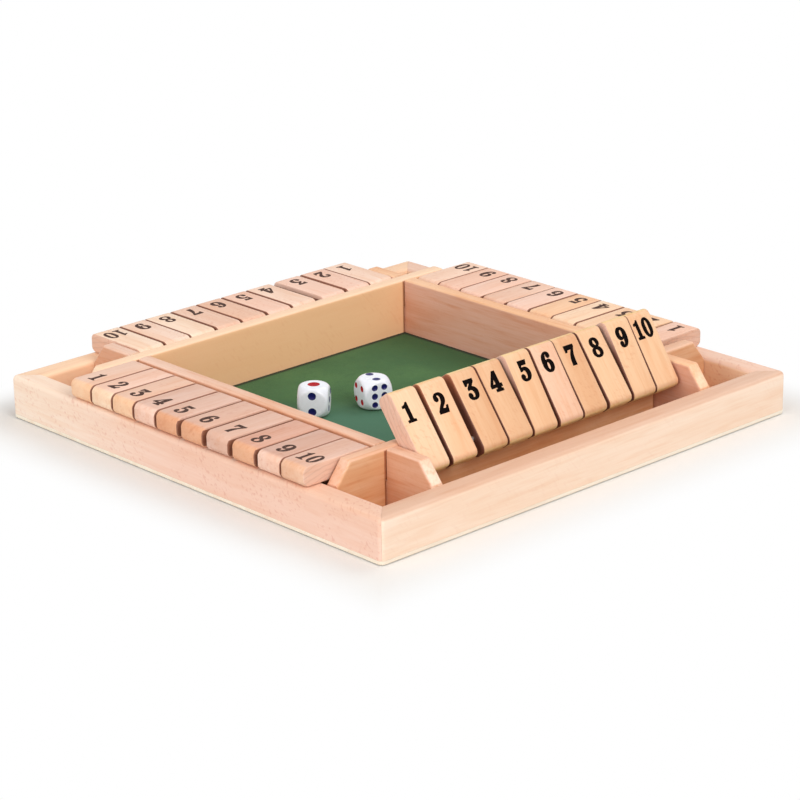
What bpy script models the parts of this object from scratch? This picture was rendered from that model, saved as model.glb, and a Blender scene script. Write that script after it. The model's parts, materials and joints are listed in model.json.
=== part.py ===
"""Shut the box game for four players: a square wooden tray, forty number tiles and two dice.

Metres, +Z up. The origin is the middle of the tray's underside. The tile row at -Y stands raised.
Each row is drawn in a row frame: tiles 1 to 10 run along +X, and -Y points out over the rail.
The east, north and west rows are that frame turned about Z.
"""

import math

import bmesh
import bpy
from mathutils import Matrix

# Tiles
TILE_COUNT = 10
TILE_WIDTH = 0.0168
TILE_THICKNESS = 0.0105
TILE_END_RADIUS = 0.0036
END_RADIUS_MOST_SHARE = 0.48
TILE_CORNER_RADIUS = 0.0017
TILE_END_INSET = 0.0003
TAIL_GAP = 0.0010
TILE_SIDE_GAP = 0.0004
ROW_SLACK = 0.0164

# Hinge rods
ROD_RADIUS = 0.00125
ROD_RUNNING_GAP = 0.00035
ROD_TROUGH_SHARE = 0.323
SOCKET_DEPTH = 0.0040
ROD_SIDES = 12

# Inner walls
WALL_THICKNESS = 0.0078
WALL_EDGE_RADIUS = 0.0015
CHEEK_SLOPE_RUN = 0.0085
TROUGH_WIDTH = 0.0316

# Outer rails, base and felt
RAIL_WIDTH = 0.0134
RAIL_TOP = 0.0233
RAIL_EDGE_RADIUS = 0.0026
TRAY_CORNER_RADIUS = 0.0030
BASE_THICKNESS = 0.0020
FELT_THICKNESS = 0.0006

# Gaps: a glue seam between fixed pieces, and the air under a piece that rests
GLUE_GAP = 0.0003
REST_GAP = 0.0003

# Dice, each with its place on the floor and its turn about Z
DIE_SIZE = 0.0165
DIE_BALL_SHARE = 0.66
DIE_LEFT_X = -0.0358
DIE_LEFT_Y = 0.0256
DIE_LEFT_TURN = math.radians(-49.0)
DIE_RIGHT_X = -0.0058
DIE_RIGHT_Y = 0.0121
DIE_RIGHT_TURN = math.radians(-18.0)

# How far each raised tile stands short of leaning fully back, in degrees
RAISED_EASE_DEG = (0.0, 0.6, 0.3, 0.0, 4.6, 3.0, 1.6, 0.2, 4.8, 3.6)

# The slack of a row, shared out over the eleven gaps beside its tiles, from tile 1 to tile 10
GAP_SHARES = {
    "south": (0.0, 1.7, 3.7, 0.3, 0.8, 1.3, 0.2, 1.2, 1.3, 0.1, 1.4),
    "east": (5.8, 1.6, 0.2, 0.6, 0.1, 0.7, 1.0, 1.2, 0.1, 0.0, 0.7),
    "north": (0.0, 0.0, 1.6, 4.9, 0.9, 1.1, 0.8, 1.1, 0.3, 0.8, 0.4),
    "west": (0.0, 0.3, 0.3, 0.5, 0.6, 2.5, 2.6, 2.6, 1.7, 0.1, 0.8),
}
ROW_TURN = {
    "south": 0.0,
    "east": math.pi / 2,
    "north": math.pi,
    "west": -math.pi / 2,
}
RAISED_ROW = "south"

# Facets of a quarter turn, and how the facets are joined and shaded
ARC_STEPS = 3
TRAY_CORNER_STEPS = 4
EDGE_STEPS = 2
BALL_SIDES = 24
MERGE_DISTANCE = 0.000001
FLAT_ANGLE = math.radians(5)
CRISP_ANGLE = math.radians(40)

# Plan, measured from the middle of the tray
WALL_INNER = (TILE_COUNT * TILE_WIDTH + ROW_SLACK) / 2
WALL_OUTER = WALL_INNER + WALL_THICKNESS
RAIL_INNER = WALL_OUTER + TROUGH_WIDTH
TRAY_HALF = RAIL_INNER + RAIL_WIDTH
ROD_FROM_WALL = ROD_TROUGH_SHARE * TROUGH_WIDTH
ROD_OFFSET = WALL_OUTER + ROD_FROM_WALL

# Heights, measured from the table
FLOOR_TOP = BASE_THICKNESS + GLUE_GAP
FELT_TOP = FLOOR_TOP + FELT_THICKNESS
ROD_HEIGHT = RAIL_TOP + REST_GAP + TILE_THICKNESS / 2
WALL_TOP = RAIL_TOP + REST_GAP + TILE_THICKNESS
LAP_HEIGHT = (FLOOR_TOP + WALL_TOP) / 2

# A tile from its rod to its inner end and to its free end
TILE_TAIL = ROD_FROM_WALL - TAIL_GAP
TILE_REACH = TRAY_HALF - TILE_END_INSET - ROD_OFFSET

# Cutters run past what they cut by this much
OVERRUN = 0.0010

# Maps a flat outline's own axes to the part's
UPRIGHT_ALONG_X = Matrix(((1, 0, 0, 0), (0, 0, -1, 0), (0, 1, 0, 0), (0, 0, 0, 1)))
UPRIGHT_ALONG_Y = Matrix(((0, 0, 1, 0), (1, 0, 0, 0), (0, 1, 0, 0), (0, 0, 0, 1)))


def clear_scene():
    """Removes whatever the file holds."""
    for thing in list(bpy.data.objects):
        bpy.data.objects.remove(thing, do_unlink=True)


def new_collection(name):
    """A collection linked to the scene."""
    collection = bpy.data.collections.new(name)
    bpy.context.scene.collection.children.link(collection)
    return collection


def finish(name, color, roughness, metallic=0.0):
    """A material with one Principled BSDF."""
    material = bpy.data.materials.new(name)
    material.use_nodes = True
    shader = material.node_tree.nodes["Principled BSDF"]
    shader.inputs["Base Color"].default_value = (*color, 1.0)
    shader.inputs["Roughness"].default_value = roughness
    shader.inputs["Metallic"].default_value = metallic
    return material


def node(name, mesh, material, location=(0, 0, 0), turn=(0, 0, 0)):
    """A piece of the game: an object of its own that may share its mesh with others."""
    piece = bpy.data.objects.new(name, mesh)
    piece.location = location
    piece.rotation_euler = turn
    if not mesh.materials:
        mesh.materials.append(None)
    piece.material_slots[0].link = "OBJECT"
    PARTS.objects.link(piece)
    piece.material_slots[0].material = material
    return piece


def helper(name, mesh):
    """A cutter or a blank, which isn't a piece of the game."""
    thing = bpy.data.objects.new(name, mesh)
    thing.hide_render = True
    thing.display_type = "WIRE"
    CUTTERS.objects.link(thing)
    return thing


def evaluated_mesh(thing, name):
    """The mesh of a helper after its modifiers. The helper is removed."""
    bpy.context.view_layer.update()
    graph = bpy.context.evaluated_depsgraph_get()
    mesh = bpy.data.meshes.new_from_object(thing.evaluated_get(graph))
    mesh.name = name
    bpy.data.objects.remove(thing, do_unlink=True)
    return mesh


def extruded(name, outlines, thickness, turn):
    """A flat closed outline, or nested outlines, thickened about its plane and turned into place."""
    curve = bpy.data.curves.new(name, "CURVE")
    curve.dimensions = "2D"
    curve.fill_mode = "BOTH"
    curve.extrude = thickness / 2
    for outline in outlines:
        spline = curve.splines.new("POLY")
        spline.points.add(len(outline) - 1)
        for point, (u, v) in zip(spline.points, outline):
            point.co = (u, v, 0, 1)
        spline.use_cyclic_u = True
    flat = bpy.data.objects.new(name, curve)
    CUTTERS.objects.link(flat)
    mesh = evaluated_mesh(flat, name)
    bpy.data.curves.remove(curve)
    shape = bmesh.new()
    shape.from_mesh(mesh)
    bmesh.ops.remove_doubles(shape, verts=shape.verts, dist=MERGE_DISTANCE)
    bmesh.ops.dissolve_limit(
        shape, angle_limit=FLAT_ANGLE, verts=shape.verts, edges=shape.edges
    )
    bmesh.ops.transform(shape, matrix=turn, verts=shape.verts)
    bmesh.ops.recalc_face_normals(shape, faces=shape.faces)
    shape.to_mesh(mesh)
    shape.free()
    return mesh


def cylinder(name, radius, length, turn):
    """A closed cylinder about the turned Z axis."""
    mesh = bpy.data.meshes.new(name)
    shape = bmesh.new()
    bmesh.ops.create_cone(
        shape,
        cap_ends=True,
        segments=ROD_SIDES,
        radius1=radius,
        radius2=radius,
        depth=length,
        matrix=turn,
    )
    shape.to_mesh(mesh)
    shape.free()
    return mesh


def block(name, width, depth, height):
    """A closed box about the origin."""
    mesh = bpy.data.meshes.new(name)
    shape = bmesh.new()
    bmesh.ops.create_cube(shape, size=1, matrix=Matrix.Diagonal((width, depth, height, 1)))
    shape.to_mesh(mesh)
    shape.free()
    return mesh


def ball(name, radius):
    """A closed ball about the origin."""
    mesh = bpy.data.meshes.new(name)
    shape = bmesh.new()
    bmesh.ops.create_uvsphere(
        shape, u_segments=BALL_SIDES, v_segments=BALL_SIDES // 2, radius=radius
    )
    shape.to_mesh(mesh)
    shape.free()
    return mesh


def arc(centre, radius, start, steps):
    """Points of a quarter turn, anticlockwise from the start angle."""
    return [
        (
            centre[0] + radius * math.cos(start + math.pi / 2 * step / steps),
            centre[1] + radius * math.sin(start + math.pi / 2 * step / steps),
        )
        for step in range(steps + 1)
    ]


def rounded_box(low, high, radii, steps):
    """A rectangle's outline, with a radius for each corner, anticlockwise from the low one."""
    corners = (
        (low[0], low[1], 1, 1),
        (high[0], low[1], -1, 1),
        (high[0], high[1], -1, -1),
        (low[0], high[1], 1, -1),
    )
    outline = []
    for turn, ((u, v, inward_u, inward_v), radius) in enumerate(zip(corners, radii)):
        if radius:
            centre = (u + inward_u * radius, v + inward_v * radius)
            outline += arc(centre, radius, math.pi + turn * math.pi / 2, steps)
        else:
            outline.append((u, v))
    return outline


def cut(blank, cutter, operation):
    """A Boolean of the blank with the cutter."""
    modifier = blank.modifiers.new(cutter.name, "BOOLEAN")
    modifier.object = cutter
    modifier.operation = operation
    modifier.solver = "EXACT"


def smooth(mesh):
    """Smooth shading, with the edges left crisp."""
    mesh.shade_smooth()
    mesh.set_sharp_from_angle(angle=CRISP_ANGLE)
    return mesh


def tile_mesh():
    """One tile about its rod: rounded at both ends, its inner corners eased, and bored across."""
    radius = min(TILE_END_RADIUS, END_RADIUS_MOST_SHARE * TILE_THICKNESS)
    half = TILE_THICKNESS / 2
    side = rounded_box((-TILE_REACH, -half), (TILE_TAIL, half), [radius] * 4, ARC_STEPS)
    blank = helper("tile_blank", extruded("tile", [side], TILE_WIDTH, UPRIGHT_ALONG_Y))
    plan = rounded_box(
        (-TILE_WIDTH / 2, -TILE_REACH - OVERRUN),
        (TILE_WIDTH / 2, TILE_TAIL),
        (0, 0, TILE_CORNER_RADIUS, TILE_CORNER_RADIUS),
        EDGE_STEPS,
    )
    height = TILE_THICKNESS + 2 * OVERRUN
    easing = helper("tile_plan", extruded("tile_plan", [plan], height, Matrix.Identity(4)))
    bore = helper(
        "tile_bore",
        cylinder(
            "tile_bore",
            ROD_RADIUS + ROD_RUNNING_GAP,
            TILE_WIDTH + 2 * OVERRUN,
            Matrix.Rotation(math.pi / 2, 4, "Y"),
        ),
    )
    cut(blank, easing, "INTERSECT")
    cut(blank, bore, "DIFFERENCE")
    return smooth(evaluated_mesh(blank, "tile"))


def wall_outline(notched_above):
    """The side view of an inner wall, drawn past its top: a notch at each crossing and sloping cheeks."""
    end = RAIL_INNER - GLUE_GAP
    near = WALL_INNER - GLUE_GAP
    far = WALL_OUTER + GLUE_GAP
    over = WALL_TOP + OVERRUN
    lean = (CHEEK_SLOPE_RUN - GLUE_GAP) / (WALL_TOP - RAIL_TOP)
    tail = [(end, FLOOR_TOP), (end, RAIL_TOP), (end - lean * (over - RAIL_TOP), over)]
    if notched_above:
        notch = LAP_HEIGHT - GLUE_GAP / 2
        half = tail + [(far, over), (far, notch), (near, notch), (near, over)]
    else:
        notch = LAP_HEIGHT + GLUE_GAP / 2
        half = [(near, FLOOR_TOP), (near, notch), (far, notch), (far, FLOOR_TOP)] + tail
    return half + [(-u, v) for u, v in reversed(half)]


def wall_mesh(name, notched_above):
    """The south wall, or one of that shape: rounded along its top, with a blind socket for each rod end."""
    outline = wall_outline(notched_above)
    thickness = WALL_THICKNESS + 2 * OVERRUN
    blank = helper(name, extruded(name, [outline], thickness, UPRIGHT_ALONG_X))
    section = rounded_box(
        (-WALL_THICKNESS / 2, FLOOR_TOP - OVERRUN),
        (WALL_THICKNESS / 2, WALL_TOP),
        (0, 0, WALL_EDGE_RADIUS, WALL_EDGE_RADIUS),
        EDGE_STEPS,
    )
    rounding = extruded("wall_section", [section], 2 * RAIL_INNER, UPRIGHT_ALONG_Y)
    cut(blank, helper("wall_section", rounding), "INTERSECT")
    for side in (-1, 1):
        length = SOCKET_DEPTH + OVERRUN
        socket = cylinder(
            "socket",
            ROD_RADIUS + GLUE_GAP,
            length,
            Matrix.Translation(
                (side * ROD_OFFSET, WALL_THICKNESS / 2 + OVERRUN - length / 2, ROD_HEIGHT)
            )
            @ Matrix.Rotation(math.pi / 2, 4, "X"),
        )
        cut(blank, helper("socket", socket), "DIFFERENCE")
    return evaluated_mesh(blank, name)


def rail_path(out):
    """The south rail's line at one distance from the middle, round half of the tray's corners."""
    radius = max(TRAY_CORNER_RADIUS - (TRAY_HALF - out), 0)
    middle = out - radius
    half = TRAY_CORNER_STEPS // 2
    left = arc((-middle, -middle), radius, math.pi, TRAY_CORNER_STEPS)[half:]
    right = arc((middle, -middle), radius, math.pi * 3 / 2, TRAY_CORNER_STEPS)[: half + 1]
    return left + right


def rail_mesh():
    """The south rail: its section carried between the mitres, and cut back there by the glue."""
    section = rounded_box(
        (RAIL_INNER, FLOOR_TOP),
        (TRAY_HALF, RAIL_TOP),
        (0, 0, RAIL_EDGE_RADIUS, RAIL_EDGE_RADIUS),
        EDGE_STEPS,
    )
    shape = bmesh.new()
    lines = [[shape.verts.new((x, y, z)) for x, y in rail_path(out)] for out, z in section]
    for line, after in zip(lines, lines[1:] + lines[:1]):
        for corners in zip(line, line[1:], after[1:], after):
            shape.faces.new(corners)
    bmesh.ops.remove_doubles(shape, verts=shape.verts, dist=MERGE_DISTANCE)
    for side in (-1, 1):
        bmesh.ops.bisect_plane(
            shape,
            geom=shape.verts[:] + shape.edges[:] + shape.faces[:],
            plane_co=(0, -GLUE_GAP / math.sqrt(2), 0),
            plane_no=(side, 1, 0),
            clear_outer=True,
        )
    bmesh.ops.holes_fill(shape, edges=shape.edges, sides=0)
    bmesh.ops.recalc_face_normals(shape, faces=shape.faces)
    mesh = bpy.data.meshes.new("rail")
    shape.to_mesh(mesh)
    shape.free()
    return mesh


def lean_back():
    """How far past upright a raised tile goes before it meets the wall's rounded top edge."""
    across = ROD_FROM_WALL + WALL_EDGE_RADIUS
    up = WALL_TOP - WALL_EDGE_RADIUS - ROD_HEIGHT
    clear = TILE_THICKNESS / 2 + REST_GAP + WALL_EDGE_RADIUS
    return math.acos(clear / math.hypot(across, up)) - math.atan2(up, across)


def turned(x, y, z, turn):
    """A place in the row frame, turned about the middle of the tray."""
    return Matrix.Rotation(turn, 3, "Z") @ Matrix.Translation((x, y, z)).translation


def tile_places(row):
    """The middle of each tile along its row, from the row's shares of the slack."""
    spare = ROW_SLACK - (TILE_COUNT + 1) * TILE_SIDE_GAP
    shares = GAP_SHARES[row]
    at = -WALL_INNER
    for number in range(TILE_COUNT):
        at += TILE_SIDE_GAP + spare * shares[number % len(shares)] / sum(shares)
        yield at + TILE_WIDTH / 2
        at += TILE_WIDTH


def add_tiles(mesh, tones):
    """Four rows of ten tiles: one row raised on its wall, three flat on their rails."""
    for row, turn in ROW_TURN.items():
        for number, along in enumerate(tile_places(row), start=1):
            raised = 0
            if row == RAISED_ROW:
                ease = RAISED_EASE_DEG[(number - 1) % len(RAISED_EASE_DEG)]
                raised = math.pi / 2 + lean_back() - math.radians(ease)
            place = turned(along, -ROD_OFFSET, ROD_HEIGHT, turn)
            tone = tones[number % len(tones)]
            node(f"tile_{row}_{number:02d}", mesh, tone, place, (-raised, 0, turn))


def add_rods(material):
    """Four rods, each from socket to socket through its row of tiles."""
    length = 2 * (WALL_INNER + SOCKET_DEPTH - GLUE_GAP)
    mesh = cylinder("rod", ROD_RADIUS, length, Matrix.Rotation(math.pi / 2, 4, "Y"))
    smooth(mesh)
    for row, turn in ROW_TURN.items():
        place = turned(0, -ROD_OFFSET, ROD_HEIGHT, turn)
        node(f"rod_{row}", mesh, material, place, (0, 0, turn))


def add_walls(material):
    """Four inner walls. The south and north ones cross over the east and west ones."""
    across = wall_mesh("wall_across", notched_above=False)
    along = wall_mesh("wall_along", notched_above=True)
    meshes = {"south": across, "east": along, "north": across, "west": along}
    for row, turn in ROW_TURN.items():
        place = turned(0, -WALL_INNER - WALL_THICKNESS / 2, 0, turn)
        node(f"wall_{row}", meshes[row], material, place, (0, 0, turn))


def add_rails(material):
    """Four mitred rails."""
    mesh = rail_mesh()
    for row, turn in ROW_TURN.items():
        node(f"rail_{row}", mesh, material, (0, 0, 0), (0, 0, turn))


def add_base(material):
    """The thin panel under everything, flush with the rails."""
    corner = [TRAY_CORNER_RADIUS] * 4
    low = (-TRAY_HALF, -TRAY_HALF)
    high = (TRAY_HALF, TRAY_HALF)
    outline = rounded_box(low, high, corner, TRAY_CORNER_STEPS)
    lift = Matrix.Translation((0, 0, BASE_THICKNESS / 2))
    node("base_panel", extruded("base_panel", [outline], BASE_THICKNESS, lift), material)


def add_felt(material):
    """The dice floor, between the inner walls."""
    side = 2 * (WALL_INNER - GLUE_GAP)
    mesh = block("felt_floor", side, side, FELT_THICKNESS)
    node("felt_floor", mesh, material, (0, 0, FLOOR_TOP + FELT_THICKNESS / 2))


def die_mesh():
    """One die: a cube whose edges and corners are taken off by a ball."""
    blank = helper("die_cube", block("die_cube", DIE_SIZE, DIE_SIZE, DIE_SIZE))
    cut(blank, helper("die_ball", ball("die_ball", DIE_BALL_SHARE * DIE_SIZE)), "INTERSECT")
    return smooth(evaluated_mesh(blank, "die"))


def add_dice(material):
    """Two dice on the felt."""
    mesh = die_mesh()
    height = FELT_TOP + REST_GAP + DIE_SIZE / 2
    node("die_left", mesh, material, (DIE_LEFT_X, DIE_LEFT_Y, height), (0, 0, DIE_LEFT_TURN))
    node("die_right", mesh, material, (DIE_RIGHT_X, DIE_RIGHT_Y, height), (0, 0, DIE_RIGHT_TURN))


def build():
    """The whole game."""
    rail_wood = finish("rail_beech", (0.84, 0.62, 0.46), 0.5)
    wall_wood = finish("wall_beech", (0.76, 0.51, 0.34), 0.5)
    tile_woods = (
        finish("tile_beech_light", (0.86, 0.66, 0.47), 0.5),
        finish("tile_beech_warm", (0.84, 0.57, 0.36), 0.5),
        finish("tile_beech_rosy", (0.83, 0.61, 0.47), 0.5),
    )
    add_base(finish("base_plywood", (0.88, 0.74, 0.52), 0.6))
    add_rails(rail_wood)
    add_walls(wall_wood)
    add_felt(finish("green_felt", (0.06, 0.18, 0.08), 0.95))
    add_rods(finish("rod_steel", (0.62, 0.62, 0.60), 0.3, 1.0))
    add_tiles(tile_mesh(), tile_woods)
    add_dice(finish("die_white", (0.90, 0.90, 0.88), 0.25))


clear_scene()
PARTS = new_collection("shut_the_box")
CUTTERS = new_collection("cutters")
build()
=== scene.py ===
"""Shut the box game for four players, dressed for its portrait.

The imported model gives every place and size. This script adds what the solids leave out: eased
edges, the numerals on the tiles, dished pips on the dice, a napped felt and the grain of the beech.
All lengths are in metres, with +Z up. The origin is the middle of the tray's underside, and the
tile row at -Y stands raised.
"""

import json
import logging
import math
import random
from collections.abc import Callable, Iterable, Mapping, Sequence
from dataclasses import dataclass, field, replace
from enum import Enum
from typing import Any

import bmesh
import bpy
from mathutils import Matrix, Vector


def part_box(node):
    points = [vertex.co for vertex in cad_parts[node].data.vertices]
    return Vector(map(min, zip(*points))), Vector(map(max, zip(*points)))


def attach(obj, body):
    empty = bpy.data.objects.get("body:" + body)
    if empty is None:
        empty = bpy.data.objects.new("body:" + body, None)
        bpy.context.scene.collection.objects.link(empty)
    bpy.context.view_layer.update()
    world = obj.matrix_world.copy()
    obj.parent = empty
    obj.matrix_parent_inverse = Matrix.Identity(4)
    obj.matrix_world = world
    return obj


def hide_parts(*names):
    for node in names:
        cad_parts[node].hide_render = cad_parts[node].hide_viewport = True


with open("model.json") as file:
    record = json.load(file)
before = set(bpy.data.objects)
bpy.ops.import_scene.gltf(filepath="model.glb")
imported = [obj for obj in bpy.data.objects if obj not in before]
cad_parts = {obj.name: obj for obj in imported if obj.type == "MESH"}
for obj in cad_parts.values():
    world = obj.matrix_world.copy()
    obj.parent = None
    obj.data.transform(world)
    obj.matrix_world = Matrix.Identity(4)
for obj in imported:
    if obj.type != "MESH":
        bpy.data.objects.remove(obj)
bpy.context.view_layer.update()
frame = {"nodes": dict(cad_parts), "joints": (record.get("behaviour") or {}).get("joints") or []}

log = logging.getLogger("shut_the_box")

Color = tuple[float, float, float]  # Linear, each channel from 0 to 1
Screen = tuple[int, int, int]  # As a screen shows it, each channel from 0 to 255
Point = tuple[float, float]
Outline = list[Point]
Span = tuple[float, float]  # Where something sets in and is whole, or the least and the most

BODY_TRAY = "tray"


def linear(red: float, green: float, blue: float) -> Color:
    """Turns a screen colour into the linear one that shaders take.

    Args:
        red: Red, from 0 to 255.
        green: Green, from 0 to 255.
        blue: Blue, from 0 to 255.

    Returns:
        The linear colour, each channel from 0 to 1.
    """

    def channel(value: float) -> float:
        """One channel, by the curve that screens use."""
        share = value / 255
        return share / 12.92 if share <= 0.04045 else ((share + 0.055) / 1.055) ** 2.4

    return channel(red), channel(green), channel(blue)


# Shader graphs


@dataclass(frozen=True)
class Pattern:
    """Cloudy noise, and how much of it shows.

    Attributes:
        lengths: Its unit length along each axis, in metres.
        low: The noise at which it begins to show.
        high: The noise at which it shows in full.
        share: How much of it shows there, from 0 to 1.
        detail: How many finer layers the noise has.
        roughness: How strong they are.
        tilt: Its turn about X and Y, in radians.
    """

    lengths: tuple[float, float, float]
    low: float = 0.0
    high: float = 1.0
    share: float = 1.0
    detail: float = 2.0
    roughness: float = 0.5
    tilt: float = 0.0

    def shown(self, noise: "Wire", share: float = 1.0) -> "Wire":
        """How much of the pattern shows.

        Args:
            noise: The pattern's noise.
            share: What its own share is multiplied by.

        Returns:
            A value from 0 to 1.
        """
        step = noise.ramp(self.low, self.high)
        share = self.share * share
        return step if share == 1 else step * share


class Wire:
    """The value of one socket, which adds Math nodes to its graph when it takes part in a sum."""

    def __init__(self, graph: "Graph", socket: bpy.types.NodeSocket) -> None:
        """Keeps the graph and the socket that the value comes from."""
        self.graph = graph
        self.socket = socket

    def combined(self, operation: str, *operands: Any) -> "Wire":
        """One Math node.

        Args:
            operation: The Math node's operation.
            operands: Its inputs in order, wires or numbers.

        Returns:
            The node's result.
        """
        inputs = dict(enumerate(operands))
        return self.graph.add("ShaderNodeMath", {"operation": operation}, inputs)

    def __add__(self, other: Any) -> "Wire":
        """Self plus other."""
        return self.combined("ADD", self, other)

    def __radd__(self, other: Any) -> "Wire":
        """Other plus self."""
        return self.combined("ADD", other, self)

    def __sub__(self, other: Any) -> "Wire":
        """Self minus other."""
        return self.combined("SUBTRACT", self, other)

    def __rsub__(self, other: Any) -> "Wire":
        """Other minus self."""
        return self.combined("SUBTRACT", other, self)

    def __mul__(self, other: Any) -> "Wire":
        """Self times other."""
        return self.combined("MULTIPLY", self, other)

    def __rmul__(self, other: Any) -> "Wire":
        """Other times self."""
        return self.combined("MULTIPLY", other, self)

    def __neg__(self) -> "Wire":
        """Self with its sign turned."""
        return self.combined("MULTIPLY", self, -1.0)

    def __abs__(self) -> "Wire":
        """Self without its sign."""
        return self.combined("ABSOLUTE", self)

    def ramp(self, low: float, high: float) -> "Wire":
        """A soft step of this value.

        Args:
            low: The value at which the step begins, where it gives 0.
            high: The value at which it ends, where it gives 1.

        Returns:
            The step's height.
        """
        return self.graph.add(
            "ShaderNodeMapRange",
            {"interpolation_type": "SMOOTHSTEP"},
            {"Value": self, "From Min": low, "From Max": high},
        )

    def between(self, low: float, high: float) -> "Wire":
        """This value, brought from 0 to 1 to between low and high."""
        return low + self * (high - low)


class Graph:
    """The node graph of a material or world, which ends in a shader."""

    def __init__(
        self, owner: bpy.types.Material | bpy.types.World, shader: str = "Principled BSDF"
    ) -> None:
        """Opens the owner's nodes.

        Args:
            owner: The material or world.
            shader: The shader that it comes with.
        """
        owner.use_nodes = True
        self.owner = owner
        self.nodes, self.links = owner.node_tree.nodes, owner.node_tree.links
        self.shader = self.nodes[shader]

    def feed(self, socket: bpy.types.NodeSocket, value: Any) -> None:
        """Links a wire to a socket, or sets the socket's own value.

        Args:
            socket: The input socket.
            value: A wire, a number, a vector or a colour.
        """
        if isinstance(value, Wire):
            self.links.new(value.socket, socket)
        elif socket.type == "RGBA" and len(value) == 3:
            socket.default_value = (*value, 1.0)
        else:
            socket.default_value = value

    def add(
        self,
        kind: str,
        settings: Mapping[str, Any] | None = None,
        inputs: Mapping[int | str, Any] | None = None,
        output: int | str = 0,
    ) -> Wire:
        """Adds any node.

        Args:
            kind: The node's type.
            settings: The node's own settings, which are made first.
            inputs: What its sockets take, by name or number.
            output: The socket whose value is wanted.

        Returns:
            That output as a wire.
        """
        node = self.nodes.new(kind)
        for key, value in (settings or {}).items():
            setattr(node, key, value)
        for key, value in (inputs or {}).items():
            self.feed(node.inputs[key], value)
        return Wire(self, node.outputs[output])

    def mix(self, share: Any, first: Any, second: Any, blend: str = "MIX") -> Wire:
        """A colour between two.

        Args:
            share: How much of the second colour, from 0 to 1.
            first: The colour at 0.
            second: The colour at 1, or what the first is multiplied by there.
            blend: How the second acts: MIX or MULTIPLY.

        Returns:
            The mixed colour.
        """
        settings = {"data_type": "RGBA", "blend_type": blend}
        return self.add("ShaderNodeMix", settings, {0: share, 6: first, 7: second}, output=2)

    def layered(self, color: Any, layers: Iterable[tuple[Any, Any]], blend: str = "MIX") -> Wire:
        """Lays colours over one another.

        Args:
            color: The lowest colour.
            layers: How much of each layer shows, with its colour, from the lowest up.
            blend: How each layer acts: MIX or MULTIPLY.

        Returns:
            The colour that shows.
        """
        for share, shade in layers:
            color = self.mix(share, color, shade, blend)
        return color

    def place(self) -> Wire:
        """The place on the piece, in the piece's own axes."""
        return self.add("ShaderNodeTexCoord", output="Object")

    def normal(self) -> Wire:
        """The way that the surface looks, in the piece's own axes."""
        return self.add("ShaderNodeTexCoord", output="Normal")

    def part(self, vector: Wire, axis: str) -> Wire:
        """One part of a vector, X, Y or Z."""
        return self.add("ShaderNodeSeparateXYZ", None, {0: vector}, output=axis)

    def spread(self, place: Wire) -> Wire:
        """How far a place is from the middle along X or Y, whichever is more."""
        away = [abs(self.part(place, axis)) for axis in "XY"]
        return away[0].combined("MAXIMUM", *away)

    def mapped(
        self, place: Wire, lengths: Sequence[float], shift: Sequence[float], tilt: float = 0
    ) -> Wire:
        """Coordinates for a pattern that is stretched, moved and perhaps tilted.

        Args:
            place: The place on the piece.
            lengths: The pattern's unit length along each axis, in metres.
            shift: The pattern's shift in metres.
            tilt: Its turn about X and Y, in radians.

        Returns:
            The pattern's own coordinates.
        """
        inputs = {
            "Vector": place,
            "Location": tuple(shift),
            "Rotation": (tilt, tilt, 0),
            "Scale": tuple(lengths),
        }
        return self.add("ShaderNodeMapping", {"vector_type": "TEXTURE"}, inputs)

    def noise(self, place: Wire, pattern: Pattern, shift: Sequence[float] = (0, 0, 0)) -> Wire:
        """The noise of a pattern.

        Args:
            place: The place on the piece.
            pattern: The pattern.
            shift: Its shift in metres.

        Returns:
            The noise's height, from 0 to 1.
        """
        inputs = {
            "Vector": self.mapped(place, pattern.lengths, shift, pattern.tilt),
            "Scale": 1.0,
            "Detail": pattern.detail,
            "Roughness": pattern.roughness,
        }
        return self.add("ShaderNodeTexNoise", None, inputs)

    def finish(self, sockets: Mapping[str, Any]) -> bpy.types.ID:
        """Feeds the shader's sockets.

        Args:
            sockets: Values by socket name.

        Returns:
            The finished material or world.
        """
        for key, value in sockets.items():
            self.feed(self.shader.inputs[key], value)
        return self.owner

    def bumped(self, height: Wire, depth: float, strength: float) -> Wire:
        """A normal that follows a height pattern.

        Args:
            height: The pattern, from 0 to 1.
            depth: How deep the pattern is, in metres.
            strength: How much of it shows.

        Returns:
            The bent normal.
        """
        inputs = {"Height": height, "Distance": depth, "Strength": strength}
        return self.add("ShaderNodeBump", None, inputs)


# Finishes


class Grain(Enum):
    """The axis that the wood's grain runs along."""

    ALONG_X = "X"
    ALONG_Y = "Y"


class OpenSide(Enum):
    """Which sawn side of a tile has no neighbour, by its way along X."""

    LEFT = -1
    NEITHER = 0
    RIGHT = 1


class Tone(Enum):
    """Screen colours of the beech, from the palest board to the darkest painted shade of a sawn
    side.
    """

    MILK = (255, 236, 218)
    IVORY = (253, 227, 204)
    CREAM = (253, 221, 190)
    SHELL = (249, 217, 196)
    PALE = (251, 214, 180)
    ROSE = (247, 208, 188)
    WHEAT = (240, 208, 150)
    PEACH = (249, 206, 168)
    STRAW = (255, 203, 155)
    LINEN = (240, 202, 180)
    SAND = (240, 196, 166)
    BISCUIT = (238, 194, 153)
    SAWN = (231, 193, 172)
    BLUSH = (228, 190, 172)
    DUN = (224, 186, 161)
    OCHRE = (230, 184, 144)
    TOFFEE = (229, 181, 139)
    AMBER = (233, 176, 138)
    DUSK = (215, 174, 156)
    MAUVE = (214, 174, 156)
    CLAY = (222, 172, 150)
    CEDAR = (220, 168, 136)
    RUSSET = (168, 100, 66)
    SIENNA = (150, 100, 78)
    UMBER = (122, 76, 60)

    @property
    def linear(self) -> Color:
        """The tone as shaders take it."""
        return linear(*self.value)


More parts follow.
